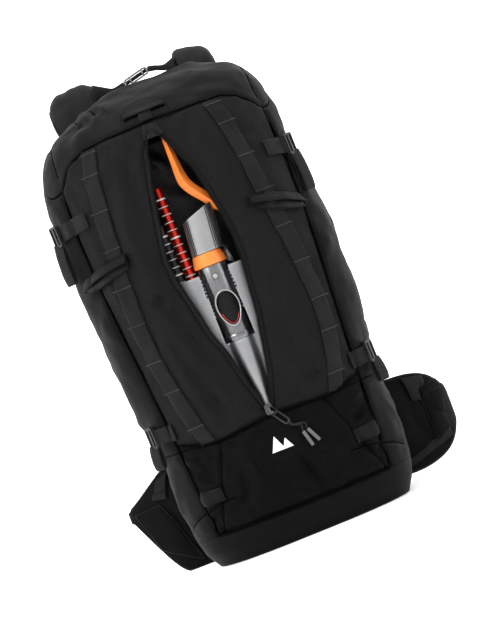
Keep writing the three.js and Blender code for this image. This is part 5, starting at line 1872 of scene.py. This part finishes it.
def swollen(piece, held):
    """The sewn cover blown up over its foam by a cloth simulation, held down along its seams."""
    group = piece.vertex_groups.new(name="seams")
    group.add([int(i) for i in np.flatnonzero(held)], 1.0, "REPLACE")
    before = np.array([v.co[:] for v in piece.data.vertices])
    cloth = piece.modifiers.new("cover", "CLOTH")
    cloth.settings.quality = 4
    cloth.settings.mass = 0.2
    cloth.settings.tension_stiffness = 25
    cloth.settings.compression_stiffness = 25
    cloth.settings.shear_stiffness = 10
    cloth.settings.bending_stiffness = 0.6
    cloth.settings.use_pressure = True
    cloth.settings.uniform_pressure_force = 4.0
    cloth.settings.effector_weights.gravity = 0
    cloth.settings.vertex_group_mass = "seams"
    cloth.collision_settings.use_collision = False
    for number in range(1, COVER_FRAMES + 1):
        bpy.context.scene.frame_set(number)
    apply_modifiers(piece)
    bpy.context.scene.frame_set(1)
    after = np.array([v.co[:] for v in piece.data.vertices])
    move = after - before
    size = np.linalg.norm(move, axis=1, keepdims=True)
    after = before + move * np.minimum(1, COVER_REACH / np.maximum(size, 1e-9))
    piece.data.vertices.foreach_set("co", after.ravel())
    piece.data.update()
    piece.vertex_groups.clear()
    finer = piece.modifiers.new("finer", "SUBSURF")
    finer.levels = 1
    apply_modifiers(piece)
    piece.data.polygons.foreach_set("use_smooth", [True] * len(piece.data.polygons))


def pad(name, middle, half, held, body, finish, slot, nodes=(), back_held=False, span=None):
    """A padded piece: a grid down the middle of the foam, its half thickness, and where it is sewn through.
    With a span it is baked in place and attached to no body."""
    rows, cols = middle.shape[:2]
    normal = normals_of(middle)
    half = np.broadcast_to(half, (rows, cols))
    outer = (middle + normal * half[..., None]).reshape(-1, 3)
    inner = (middle - normal * half[..., None]).reshape(-1, 3)
    count = rows * cols
    faces = []
    for r in range(rows - 1):
        for c in range(cols - 1):
            a, b = r * cols + c, (r + 1) * cols + c
            faces += [(a, a + 1, b + 1, b), (count + b, count + b + 1, count + a + 1, count + a)]
    rim = [c for c in range(cols)] + [r * cols + cols - 1 for r in range(1, rows)]
    rim += [(rows - 1) * cols + c for c in range(cols - 2, -1, -1)]
    rim += [r * cols for r in range(rows - 2, 0, -1)]
    faces += [(b, a, count + a, count + b) for a, b in zip(rim, rim[1:] + rim[:1])]
    piece = mesh_object(name, np.concatenate([outer, inner]), faces)
    face_out(piece)
    fixed = np.zeros(2 * count, bool)
    fixed[:count] = held.ravel()
    fixed[count:] = held.ravel() | back_held
    fixed[rim] = True
    fixed[[count + i for i in rim]] = True
    swollen(piece, fixed)
    if span:
        settle_bending(piece, ("pack", body), span, finish, slot, *nodes)
    else:
        settle(piece, body, finish, slot, *nodes)
    return piece


def pressed(tree, points, way, out):
    """Points laid on a surface that they face along `way`, this far off it."""
    points = np.asarray(points, float)
    ways = np.broadcast_to(np.asarray(way, float), points.shape).reshape(-1, 3)
    outs = np.broadcast_to(np.asarray(out, float), points.shape[:-1]).reshape(-1)
    laid, reach = [], 0.03
    for p, w, o in zip(points.reshape(-1, 3), ways, outs):
        w = Vector(w).normalized()
        hit = tree.ray_cast(Vector(p) + w * reach, -w, 2 * reach)[0]
        laid.append(tuple((hit if hit is not None else Vector(p)) + w * o))
    return np.reshape(laid, points.shape)


def eased_line(line, passes=4):
    """A line with its small steps evened out; its ends stay."""
    line = np.array(line, float)
    for _ in range(passes):
        line[1:-1] = (line[:-2] + 2 * line[1:-1] + line[2:]) / 4
    return line


def rim_of(grid):
    """The grid's own edge, all the way round."""
    return np.concatenate([grid[0], grid[1:, -1], grid[-1, -2::-1], grid[-2:0:-1, 0]])


def dome(u, edge=0.35, power=4):
    """1 in the middle of the width and `edge` at its sides; u runs from -1 to 1."""
    return edge + (1 - edge) * np.sqrt(np.maximum(1 - np.abs(u) ** power, 0))


# centre x and half width of each arch at its top; x and height of its outline there
ARCHES = {
    "left": (-0.0785, 0.0385, [
        [-119, 606], [-113, 618], [-100, 626.5], [-84, 630], [-66, 627], [-52, 618], [-40, 607],
    ]),
    "right": (0.0770, 0.0240, [
        [52, 612], [56, 621], [61, 624.5], [76, 622.5], [90, 618.5], [98, 609], [102, 596],
    ]),
}
ARCH_TOP, ARCH_LOW = 0.6165, 0.560
STRAP_X, STRAP_HALF = 0.077, 0.032
STRAP_SPAN = ((0.0, 0.136, 0.609), (0.0, 0.163, 0.568))  # two points at a strap's top, where it would bend as it opens; no piece is bent over them
STRAP_RUN = [
    (131, 611), (147, 606), (158, 591), (164, 556), (165, 500), (162, 420), (156, 340), (150, 270), (146, 217),
]
LEG_RUN = [(101.5, 532), (103, 556), (104.5, 574), (109, 593), (118, 605.5), (129, 610.6)]
STRAP_FOLDS = {
    "left": [
        (-104, 624, -92, 590, 4, 4.2), (-90, 628, -80, 588, 4, -4.0), (-70, 626, -58, 590, 4, 3.6),
        (-114, 602, -92, 606, 4, -3.0),
    ],
    "right": [(60, 620, 66, 590, 4, 2.8), (84, 616, 80, 588, 4, -2.8), (96, 604, 90, 586, 4, 2.0)],
}


def arch_warp(grid, name, side):
    """Gives the top of a strap and of its leg the outline of the folded arch."""
    centre, half, outline = ARCHES[name]
    outline = np.array(outline) / 1000
    x, z = grid[..., 0], grid[..., 2]
    near = np.clip((z - 0.540) / 0.060, 0, 1)
    near = near * near * (3 - 2 * near)
    u = (x - side * STRAP_X) / STRAP_HALF
    new_x = x + (centre + half * u - x) * near
    top = np.interp(new_x, outline[:, 0], outline[:, 1])
    new_z = z + (top - ARCH_TOP) * np.clip((z - ARCH_LOW) / (ARCH_TOP - ARCH_LOW), 0, 1)
    return np.stack([new_x, grid[..., 1], new_z], axis=-1)


SEAM_COLUMNS, MIDDLE_COLUMN = (2, 12), 7


def make_shoulder_strap(side, name):
    """The strap from the arch down: padding, binding, webbing down its middle, stitches and bartacks."""
    rows, cols = 92, 15
    line = resampled([(0, y / 1000, z / 1000) for y, z in STRAP_RUN], rows)
    u = np.linspace(-1, 1, cols)
    v = np.linspace(0, 1, rows)[:, None]
    width = STRAP_HALF * np.interp(v, [0, 0.5, 0.92, 1], [1, 1, 0.86, 0.62])
    curve = 0.006 * np.sin(math.pi * v)
    x = side * (STRAP_X + curve) + width * u[None]
    grid = np.stack(np.broadcast_arrays(x, line[:, 1:2], line[:, 2:3]), axis=-1)
    grid = arch_warp(grid, name, side)
    half = 0.0052 * dome(u)[None] * np.interp(v, [0, 0.03, 0.97, 1], [0.75, 1, 1, 0.35])
    if normals_of(grid)[40, MIDDLE_COLUMN, 1] < 0:
        grid = grid[:, ::-1]
    fold = fold_height(grid[..., 0], grid[..., 2], STRAP_FOLDS[name]) * np.clip(1 - v / 0.16, 0, 1)
    grid = lifted(grid, fold * 0.8)
    held = np.zeros((rows, cols), bool)
    held[:, SEAM_COLUMNS] = True
    body = f"strap_{name}"
    nodes = (f"shoulder_strap_{name}",)
    pad(f"shoulder_pad_{name}", grid, half, held, body, STRAP_CLOTH, "padding", nodes, span=STRAP_SPAN)
    rim = eased_line(rim_of(grid)[:-1])
    binding = tube(f"shoulder_binding_{name}", rim, 0.0024, 10, closed=True, flat=0.75)
    settle_bending(binding, ("pack", body), STRAP_SPAN, WEBBING, "webbing")
    tree = cloth_tree(f"shoulder_pad_{name}")
    outer = normals_of(grid)
    first, last = 14, 89
    middle = pressed(tree, grid[first:last, MIDDLE_COLUMN], outer[first:last, MIDDLE_COLUMN], 0.0006)
    middle = eased_line(middle)
    settle(ribbon(f"shoulder_web_{name}", middle, (1, 0, 0), 0.022, 0.0014), body, WEBBING, "webbing")
    for column, label in zip(SEAM_COLUMNS, ("in", "out")):
        row = pressed(tree, grid[first:88, column], outer[first:88, column], 0.0002)
        stitches(f"shoulder_stitch_{name}_{label}", row, outer[first:88, column], body)
    bars = []
    for share in (0.0, 0.14, 0.30, 0.55, 0.70, 0.86, 0.995):
        i = min(int(share * (len(middle) - 1)), len(middle) - 1)
        place = middle[i] + outer[first + i, MIDDLE_COLUMN] * 0.0010
        for dx in (-0.0075, 0.0, 0.0075):
            bars.append(box_mesh("bar", (0.0052, 0.0008, 0.0012), place + np.array([dx, 0, 0])))
    settle(joined(f"shoulder_bartacks_{name}", bars), body, BARTACK, "webbing")
    return grid


def make_yoke(side, name):
    """The leg that the strap hangs from, behind the arch, down to the yoke plate."""
    rows, cols = 26, 15
    line = resampled([(0, y / 1000, z / 1000) for y, z in LEG_RUN], rows)
    u = np.linspace(-1, 1, cols)
    x = side * STRAP_X + STRAP_HALF * u[None] + np.zeros((rows, 1))
    grid = np.stack(np.broadcast_arrays(x, line[:, 1:2], line[:, 2:3]), axis=-1)
    grid = arch_warp(grid, name, side)
    if normals_of(grid)[10, MIDDLE_COLUMN, 1] > 0:
        grid = grid[:, ::-1]
    v = np.linspace(0, 1, rows)[:, None]
    fold = fold_height(grid[..., 0], grid[..., 2], STRAP_FOLDS[name])
    grid = lifted(grid, fold)
    half = 0.0046 * dome(u)[None] * np.interp(v, [0, 0.1, 1], [0.4, 1, 0.9])
    held = np.zeros((rows, cols), bool)
    held[:, SEAM_COLUMNS] = True
    nodes = ("shoulder_yoke",) if side < 0 else ()
    pad(f"yoke_leg_{name}", grid, half, held, "pack", STRAP_CLOTH, "padding", nodes)
    rim = eased_line(rim_of(grid)[:-1])
    binding = tube(f"yoke_binding_{name}", rim, 0.0022, 10, closed=True, flat=0.75)
    settle(binding, "pack", WEBBING, "webbing")


def make_yoke_plate():
    """The padded plate across the back panel that both legs are sewn to."""
    rows, cols = 12, 45
    z, x = np.meshgrid(np.linspace(0.503, 0.552, rows), np.linspace(0.110, -0.110, cols), indexing="ij")
    grid = np.stack([x, np.full_like(x, 0.1010), z], axis=-1)
    u, v = np.linspace(-1, 1, cols)[None], np.linspace(-1, 1, rows)[:, None]
    held = np.zeros((rows, cols), bool)
    held[:, (11, 22, 33)] = True
    half = 0.0046 * dome(u, 0.3, 8) * dome(v, 0.3, 5)
    pad("yoke_plate", grid, half, held, "pack", STRAP_CLOTH, "padding")
    binding = tube("yoke_plate_binding", rim_of(grid)[:-1], 0.0020, 10, closed=True, flat=0.8)
    settle(binding, "pack", WEBBING, "webbing")


PAD_FACE, PAD_BACK = 0.1040, 0.0958


def make_back_pad():
    """Foam under spacer mesh, sewn into pads either side of an open channel."""
    rows, cols = 95, 41
    z, x = np.meshgrid(np.linspace(0.024, 0.490, rows), np.linspace(0.093, -0.093, cols), indexing="ij")
    corner = 0.022
    over = np.maximum(np.abs(z - 0.257) - (0.233 - corner), 0)
    reach = 0.093 - corner + np.sqrt(np.maximum(corner ** 2 - over ** 2, 0))
    x = x / 0.093 * reach
    lines = (0.118, 0.212, 0.306, 0.400)
    channel = np.clip((0.0145 - np.abs(x)) / 0.005, 0, 1)
    channel = channel * np.clip((z - 0.050) / 0.01, 0, 1) * np.clip((0.470 - z) / 0.01, 0, 1)
    groove = np.max([np.exp(-((z - q + 0.06 * np.abs(x)) / 0.0035) ** 2) for q in lines], axis=0)
    edge = np.clip(np.minimum(reach - np.abs(x), 0.233 - np.abs(z - 0.257)) / 0.008, 0, 1)
    thick = (PAD_FACE - PAD_BACK) * (1 - 0.62 * np.maximum(channel, groove)) * (0.35 + 0.65 * np.sqrt(edge))
    grid = np.stack([x, PAD_BACK + thick / 2, z], axis=-1)
    held = (channel > 0.3) | (groove > 0.5)
    pad("back_cushion", grid, thick / 2, held, "pack", KNIT, "padding", ("back_pad",), back_held=True)
    settle(tube("back_binding", rim_of(grid)[:-1], 0.0022, 10, closed=True), "pack", WEBBING, "webbing")
    tree = cloth_tree("back_cushion")
    for side in (-1, 1):
        for q in lines:
            xs = np.linspace(0.017, 0.086, 30) * side
            line = np.stack([xs, np.full(30, 0.1), q - 0.06 * np.abs(xs)], axis=-1)
            line = pressed(tree, line, (0, 1, 0), 0.0001)
            way = np.broadcast_to([0, 1.0, 0], line.shape)
            stitches(f"back_stitch_{side}_{int(q * 1000)}", line, way, "pack")


# x, y, upper edge and lower edge of each hip wing, from the pack out to the buckle
WINGS = {
    "left": [
        [99, 104, 128, 4], [120, 105, 133, -1], [135, 106.5, 138, -2], [152, 109, 134, -2], [165, 112, 124.5, -1],
        [176, 116, 118, 7], [188, 120.5, 110, 31], [200, 126, 102, 58], [210, 134, 97.5, 80], [210, 148, 95, 78],
        [190, 184, 92, 54], [170, 210, 90, 48], [139, 228, 87, 47],
    ],
    "right": [
        [99, 104, 128, 14], [120, 105, 130, 12.5], [140, 107, 131, 11], [158, 110, 130, 11], [175, 115, 128.5, 14],
        [190, 121, 124, 19], [203, 128, 117, 28], [211, 139, 105, 40], [214.5, 154, 100, 52], [205, 190, 96, 46],
        [180, 213, 92, 44], [139, 228, 88, 47],
    ],
}


HIP_FOLDS = {
    "left": [
        (-150, 118, -132, 60, 7, 3.0), (-166, 96, -140, 40, 6, -3.6), (-172, 120, -150, 112, 5, 2.2),
        (-190, 60, -150, 20, 12, 1.8),
    ],
    "right": [
        (150, 120, 158, 70, 6, 2.6), (160, 92, 176, 34, 5, -3.4), (178, 108, 208, 112, 4, -2.8),
        (180, 96, 212, 90, 6, 2.6), (186, 80, 208, 62, 5, -2.6), (176, 60, 196, 40, 9, 2.4),
        (140, 80, 150, 30, 8, 1.8),
    ],
}


def wing_grid(side, name):
    """A wing's middle: evenly spaced along its run, between its lower and its upper edge."""
    rows, cols = 44, 25
    table = np.array(WINGS[name]) / 1000
    path = resampled([(x, y, 0) for x, y, _, _ in table], rows)
    run, knots = run_along(path[:, :2]), run_along(table[:, :2])
    knots = knots * run[-1] / knots[-1]
    top, low = np.interp(run, knots, table[:, 2]), np.interp(run, knots, table[:, 3])
    v = np.linspace(0, 1, cols)[None]
    z = low[:, None] + (top - low)[:, None] * v
    x = side * np.broadcast_to(path[:, :1], z.shape)
    y = np.broadcast_to(path[:, 1:2], z.shape)
    grid = np.stack([x, y, z], axis=-1)
    if normals_of(grid)[8, 12, 1] > 0:
        grid = grid[:, ::-1]
    return grid


def on_wing(grid, run, rise, out):
    """Points on a wing's outer face: shares along it and up it, and a distance off it."""
    rows, cols = grid.shape[:2]
    normal = normals_of(grid)
    up = grid[5, -1, 2] > grid[5, 0, 2]
    r = np.asarray(run) * (rows - 1)
    c = (np.asarray(rise) if up else 1 - np.asarray(rise)) * (cols - 1)
    r0, c0 = np.clip(r.astype(int), 0, rows - 2), np.clip(c.astype(int), 0, cols - 2)
    fr, fc = (r - r0)[..., None], (c - c0)[..., None]

    def at(field):
        low = field[r0, c0] * (1 - fc) + field[r0, c0 + 1] * fc
        high = field[r0 + 1, c0] * (1 - fc) + field[r0 + 1, c0 + 1] * fc
        return low * (1 - fr) + high * fr

    return at(grid) + at(normal) * np.asarray(out)[..., None], at(normal)


def wing_share(grid, x):
    """How far along the wing its front view has this x."""
    line = np.abs(grid[:, 12, 0])
    peak = int(np.argmax(line))
    return float(np.interp(abs(x), line[:peak + 1], np.linspace(0, peak / (len(line) - 1), peak + 1)))


def wing_rise(grid, run, z):
    """How far up the wing this height is."""
    rows = grid.shape[0]
    r = run * (rows - 1)
    ends = [np.interp(r, range(rows), grid[:, c, 2]) for c in (0, -1)]
    low, high = min(ends), max(ends)
    return float(np.clip((z - low) / (high - low), 0.01, 0.99))


def make_hip_wing(side, name):
    """The padded wing with its binding; its front part is creased."""
    grid = wing_grid(side, name)
    rows, cols = grid.shape[:2]
    across = np.linspace(-1, 1, cols)[None]
    v = np.linspace(0, 1, rows)[:, None]
    half = 0.0056 * dome(across, 0.3, 6) * np.interp(v, [0, 0.05, 0.93, 1], [0.8, 1, 0.9, 0.4])
    z, run = grid[..., 2], np.broadcast_to(v, grid.shape[:2])
    front_part = np.clip(1 - (run - 0.50) / 0.08, 0, 1)
    folds = fold_height(grid[..., 0], z, HIP_FOLDS[name]) + ripple(grid[..., 0], z, 61.0 * side, 30.0, 0.0016)
    grid = lifted(grid, folds * front_part)
    held = np.zeros((rows, cols), bool)
    held[(30, 37), 3:-3] = True
    body = f"hip_{name}"
    pad(f"hip_pad_{name}", grid, half, held, body, HIP_CLOTH, "padding", (f"hip_wing_{name}",))
    rim = eased_line(rim_of(grid)[:-1], 3)
    binding = tube(f"hip_binding_{name}", rim, 0.0026, 10, closed=True, flat=0.8)
    settle(binding, body, WEBBING, "webbing")
    return grid


def wing_sheet(name, side, grid, corners, out, thick, finish, rows=22, cols=16):
    """A sheet laid on a wing between four corners (x, z in the front view), clockwise from the lower left."""
    a, b, c, d = (np.array(p) / 1000 for p in corners)
    v, u = np.meshgrid(np.linspace(0, 1, rows), np.linspace(0, 1, cols), indexing="ij")
    along, up = u[..., None], v[..., None]
    flat = (a * (1 - along) + d * along) * (1 - up) + (b * (1 - along) + c * along) * up
    runs = np.array([[wing_share(grid, x) for x, _ in row] for row in flat])
    rises = np.array([[wing_rise(grid, r, z) for r, (_, z) in zip(rr, row)] for rr, row in zip(runs, flat)])
    puff = out[0] + (out[1] - out[0]) * (np.sin(math.pi * u) * np.sin(math.pi * v)) ** 0.5
    points, _ = on_wing(grid, runs, rises, puff)
    piece = slab(f"{name}_{side}", points, thick)
    face_out(piece)
    settle(piece, f"hip_{side}", finish, "webbing" if finish is WEBBING else "padding")
    return points


# name, side, corners, distance off the wing (edges, middle), thickness, finish, rows and columns, hem's name
WING_SHEETS = (
    ("hip_cover", "left", [(-187, 38), (-204, 90), (-171, 92), (-143, 8)], (0.0072, 0.0098), 0.0016,
     HIP_CLOTH, (30, 24), "hip_cover_hem_left"),
    ("hip_stabiliser", "left", [(-176, 101), (-163, 122), (-149, 126), (-157, 98)], (0.0080, 0.0088), 0.0014,
     WEBBING, (22, 16), None),
    ("hip_stabiliser_end", "left", [(-177, 100), (-173, 108), (-156, 106), (-157, 97)], (0.0098, 0.0104), 0.0014,
     WEBBING, (22, 16), None),
    ("hip_loop", "right", [(170, 94), (166, 127), (192, 121), (190, 90)], (0.0080, 0.0098), 0.0016,
     WEBBING, (22, 16), None),
    ("hip_pocket", "right", [(183, 38), (181, 93), (207, 96), (201, 46)], (0.0070, 0.0120), 0.0018,
     HIP_CLOTH, (30, 24), "hip_pocket_hem_right"),
    ("hip_pocket_flap", "right", [(182, 91), (181, 104), (206, 109), (207, 98)], (0.0092, 0.0128), 0.0016,
     HIP_CLOTH, (16, 20), None),
    ("hip_band", "right", [(140, 17), (141, 27), (200, 47), (201, 36)], (0.0070, 0.0076), 0.0014,
     WEBBING, (12, 40), None),
)


def make_wing_details():
    """What is sewn on the wings: cover and straps on the left, pocket, loop and band on the right."""
    wings = {name: make_hip_wing(side, name) for side, name in ((-1, "left"), (1, "right"))}
    for name, side, corners, out, thick, finish, (rows, cols), hem in WING_SHEETS:
        sheet = wing_sheet(name, side, wings[side], corners, out, thick, finish, rows, cols)
        if hem:
            line = eased_line(rim_of(sheet), 2)
            settle(tube(hem, line, 0.0012, 8, closed=True), f"hip_{side}", TAPE, "webbing")


def make_belt_webbing(side, name):
    """Doubled webbing from the wing's end to the buckle, its tail in a keeper."""
    start, end = np.array([side * 0.150, 0.2262, 0.067]), np.array([side * 0.0816, 0.2405, 0.067])
    t = np.linspace(0, 1, 20)[:, None]
    line = start + (end - start) * t + np.array([0, 0.0012, 0]) * np.sin(math.pi * t)
    body = f"hip_{name}"
    web = ribbon(f"belt_web_{name}", line, (0, 0, 1), 0.038, 0.0018)
    settle(web, body, WEBBING, "webbing", f"hip_webbing_{name}")
    tail = ribbon(f"belt_tail_{name}", line[3:17] + np.array([0, 0.0026, 0]), (0, 0, 1), 0.036, 0.0016)
    settle(tail, body, WEBBING, "webbing")
    place = line[9] + np.array([0, 0.0012, 0])
    keeper = box_mesh(f"belt_keeper_{name}", (0.007, 0.0085, 0.042), place, bevel=0.0014)
    settle(keeper, body, PLASTIC, "black_plastic")


def make_lower_webbing(side, name, grid):
    """Webbing from the strap's lower end, through a ladder-lock, to the pack."""
    end = grid[-1, MIDDLE_COLUMN]
    anchor = np.array([side * 0.1210, 0.0965, 0.1440])
    body = f"strap_{name}"
    half_way = end + (anchor - end) * 0.45 + np.array([side * 0.002, 0.006, 0])
    line = resampled([end + np.array([0, -0.002, -0.004]), half_way, anchor], 34)
    way = np.gradient(line, axis=0)
    across = np.cross(way, (0, 1, 0.3)) * side
    web = ribbon(f"lower_web_{name}", line, across, 0.020, 0.0016)
    span = (line[2], anchor)
    settle_bending(web, (body, "pack"), span, WEBBING, "webbing", f"shoulder_webbing_{name}")
    lock = [box_mesh("frame", (0.0040, 0.0060, 0.0240), (dx, 0, 0), bevel=0.0010) for dx in (-0.0130, 0.0130)]
    for dy, dz in ((0, -0.0100), (0.0016, 0.0), (0, 0.0100)):
        lock.append(box_mesh("bar", (0.0250, 0.0034, 0.0038), (0, dy, dz), bevel=0.0010))
    lock = joined(f"strap_lock_{name}", lock)
    lean = end - grid[-4, MIDDLE_COLUMN]
    lean /= np.linalg.norm(lean)
    turn = Vector((0, 0, -1)).rotation_difference(Vector(lean)).to_matrix().to_4x4()
    lock.data.transform(Matrix.Translation(Vector(end + np.array([0, 0, -0.008]))) @ turn)
    settle(lock, body, PLASTIC, "black_plastic")
    knots = ((0, 0.004, -0.012), (side * 0.004, 0.010, -0.045), (side * 0.010, 0.004, -0.085))
    tail = resampled([end + np.array(p) for p in knots], 20)
    settle(ribbon(f"lower_tail_{name}", tail, (1, 0, 0), 0.019, 0.0014), body, WEBBING, "webbing")
    foot = np.linspace(anchor, anchor + np.array([-side * 0.006, -0.0045, -0.026]), 8)
    settle(ribbon(f"lower_anchor_{name}", foot, across[-1], 0.020, 0.0020), "pack", WEBBING, "webbing")


# y, z of the haul loop's line at each x
HAUL_LINE = (
    ((-56, 108, 606), (-44, 108.5, 603.5), (-30, 109, 600.5), (-15, 109, 602.5)),
    ((19, 109, 609.5), (28, 109, 607.5), (40, 108.5, 603.5), (54, 108, 603)),
)


def make_haul_loop():
    """Twisted webbing between the arches, joined by a flat steel hook."""
    for name, points in zip(("left", "right"), HAUL_LINE):
        line = resampled([np.array(p) / 1000 for p in points], 22)
        u = np.linspace(0, 1, 22)
        far = u if name == "right" else 1 - u
        spread = 0.0058 if name == "right" else 0.0085
        wide = 0.0031 + 0.0009 * np.abs(np.cos(2.6 * u)) + spread * np.clip((far - 0.35) / 0.65, 0, 1) ** 1.5
        piece = tube(f"haul_web_{name}", line, wide, 16, flat=0.34, side_way=(0, 0.35, 1))
        nodes = ("haul_strap",) if name == "left" else ()
        settle(piece, "pack", WEBBING, "webbing", *nodes)
    low, high = np.array([-0.0145, 0.109, 0.6020]), np.array([0.0185, 0.109, 0.6095])
    way = (high - low) / np.linalg.norm(high - low)
    up = np.array([-way[2], 0, way[0]])
    ring, radius = [], 0.0042
    for centre, start in ((high - way * radius, -math.pi / 2), (low + way * radius, math.pi / 2)):
        for a in np.linspace(start, start + math.pi, 14):
            ring.append(centre + way * radius * math.cos(a) + up * radius * math.sin(a))
    parts = [tube("hook_ring", ring, 0.0013, 10, closed=True)]
    for share in (0.26, 0.78):
        spot = low + (high - low) * share
        parts.append(tube("hook_bar", [spot - up * radius, spot + up * radius], 0.0012, 10))
    hook = joined("haul_hook_ring", parts)
    settle(hook, "hook", HOOK_METAL, "hook_metal", "haul_hook")
    core = np.linspace(low + way * 0.0015, high - way * 0.0015, 12) + np.array([0, 0.0004, 0])
    middle = tube("haul_web_middle", core, 0.0026, 12, flat=0.5, side_way=(0, 0.3, 1))
    settle(middle, "pack", WEBBING, "webbing")


for side, name in ((-1, "left"), (1, "right")):
    make_yoke(side, name)
    make_lower_webbing(side, name, make_shoulder_strap(side, name))
    body = f"sternum_{name}"
    refined(f"chest_slider_{name}", f"sternum_strap_{name}", body, 0.0009, PLASTIC)
    make_belt_webbing(side, name)
make_yoke_plate()
make_back_pad()
make_wing_details()
make_haul_loop()
refined("trigger_grip", "trigger_handle", "trigger", 0.0024, RED_PLASTIC, 3)
for name, node in (("left", "hip_buckle_male"), ("right", "hip_buckle_female")):
    refined(f"belt_buckle_{name}", node, f"hip_{name}", 0.0011, PLASTIC)

# ---------------------------------------------------------------- light and floor


def area_light(name, place, target, size, power):
    """A rectangular light that faces its target."""
    data = bpy.data.lights.new(name, "AREA")
    data.shape = "RECTANGLE"
    data.size, data.size_y = size
    data.energy = power
    light = bpy.data.objects.new(name, data)
    bpy.context.scene.collection.objects.link(light)
    light.location = place
    light.rotation_euler = (Vector(target) - Vector(place)).to_track_quat("-Z", "Y").to_euler()


def make_studio():
    """A round white room, floor and wall in one, open above, under soft lights; the room glows as well, dim at the
    front and brighter towards the back, which keeps it white and lights the pack from behind and below.
    """
    bend, flat = 2.2, 8.4
    profile = [(0.02, 0.0), (1.5, 0.0), (flat, 0.0)]
    angles = np.linspace(0.1, math.pi / 2, 14)
    profile += [(flat + bend * math.sin(a), bend - bend * math.cos(a)) for a in angles]
    profile.append((flat + bend, 12.0))
    sides = 96
    turns = np.linspace(0, 2 * math.pi, sides, endpoint=False)
    points = [(r * math.cos(a), r * math.sin(a), z - 0.0002) for r, z in profile for a in turns]
    faces = ring_sweep(len(profile), sides) + [tuple(range(sides))[::-1]]
    sweep = mesh_object("studio_sweep", points, faces)
    white = bpy.data.materials.new("studio_white")
    white.use_nodes = True
    shader = white.node_tree.nodes["Principled BSDF"]
    shader.inputs["Base Color"].default_value = (0.93, 0.93, 0.93, 1)
    shader.inputs["Roughness"].default_value = 0.9
    shader.inputs["Emission Color"].default_value = (1, 1, 1, 1)
    tree = white.node_tree
    place = tree.nodes.new("ShaderNodeTexCoord")
    split = tree.nodes.new("ShaderNodeSeparateXYZ")
    glow = tree.nodes.new("ShaderNodeMapRange")
    glow.interpolation_type = "SMOOTHSTEP"
    for key, value in (("From Min", -2.0), ("From Max", 4.0), ("To Min", 0.14), ("To Max", 0.80)):
        glow.inputs[key].default_value = value
    tree.links.new(place.outputs["Object"], split.inputs[0])
    tree.links.new(split.outputs["Y"], glow.inputs["Value"])
    tree.links.new(glow.outputs["Result"], shader.inputs["Emission Strength"])
    sweep.data.materials.append(white)

    world = bpy.data.worlds.new("studio")
    world.use_nodes = True
    world.node_tree.nodes["Background"].inputs["Color"].default_value = (1, 1, 1, 1)
    world.node_tree.nodes["Background"].inputs["Strength"].default_value = 0.35
    bpy.context.scene.world = world
    bpy.context.scene.view_settings.view_transform = "Standard"
    target = (0, 0, 0.3)
    area_light("key", (-1.8, -2.0, 2.6), target, (1.2, 1.2), 80)
    area_light("right_strip", (2.4, -0.9, 1.3), target, (0.8, 2.2), 30)
    area_light("left_strip", (-2.4, -0.6, 1.0), target, (0.8, 2.2), 24)
    area_light("top", (0.2, 0.4, 2.8), target, (2.0, 2.0), 45)


make_studio()
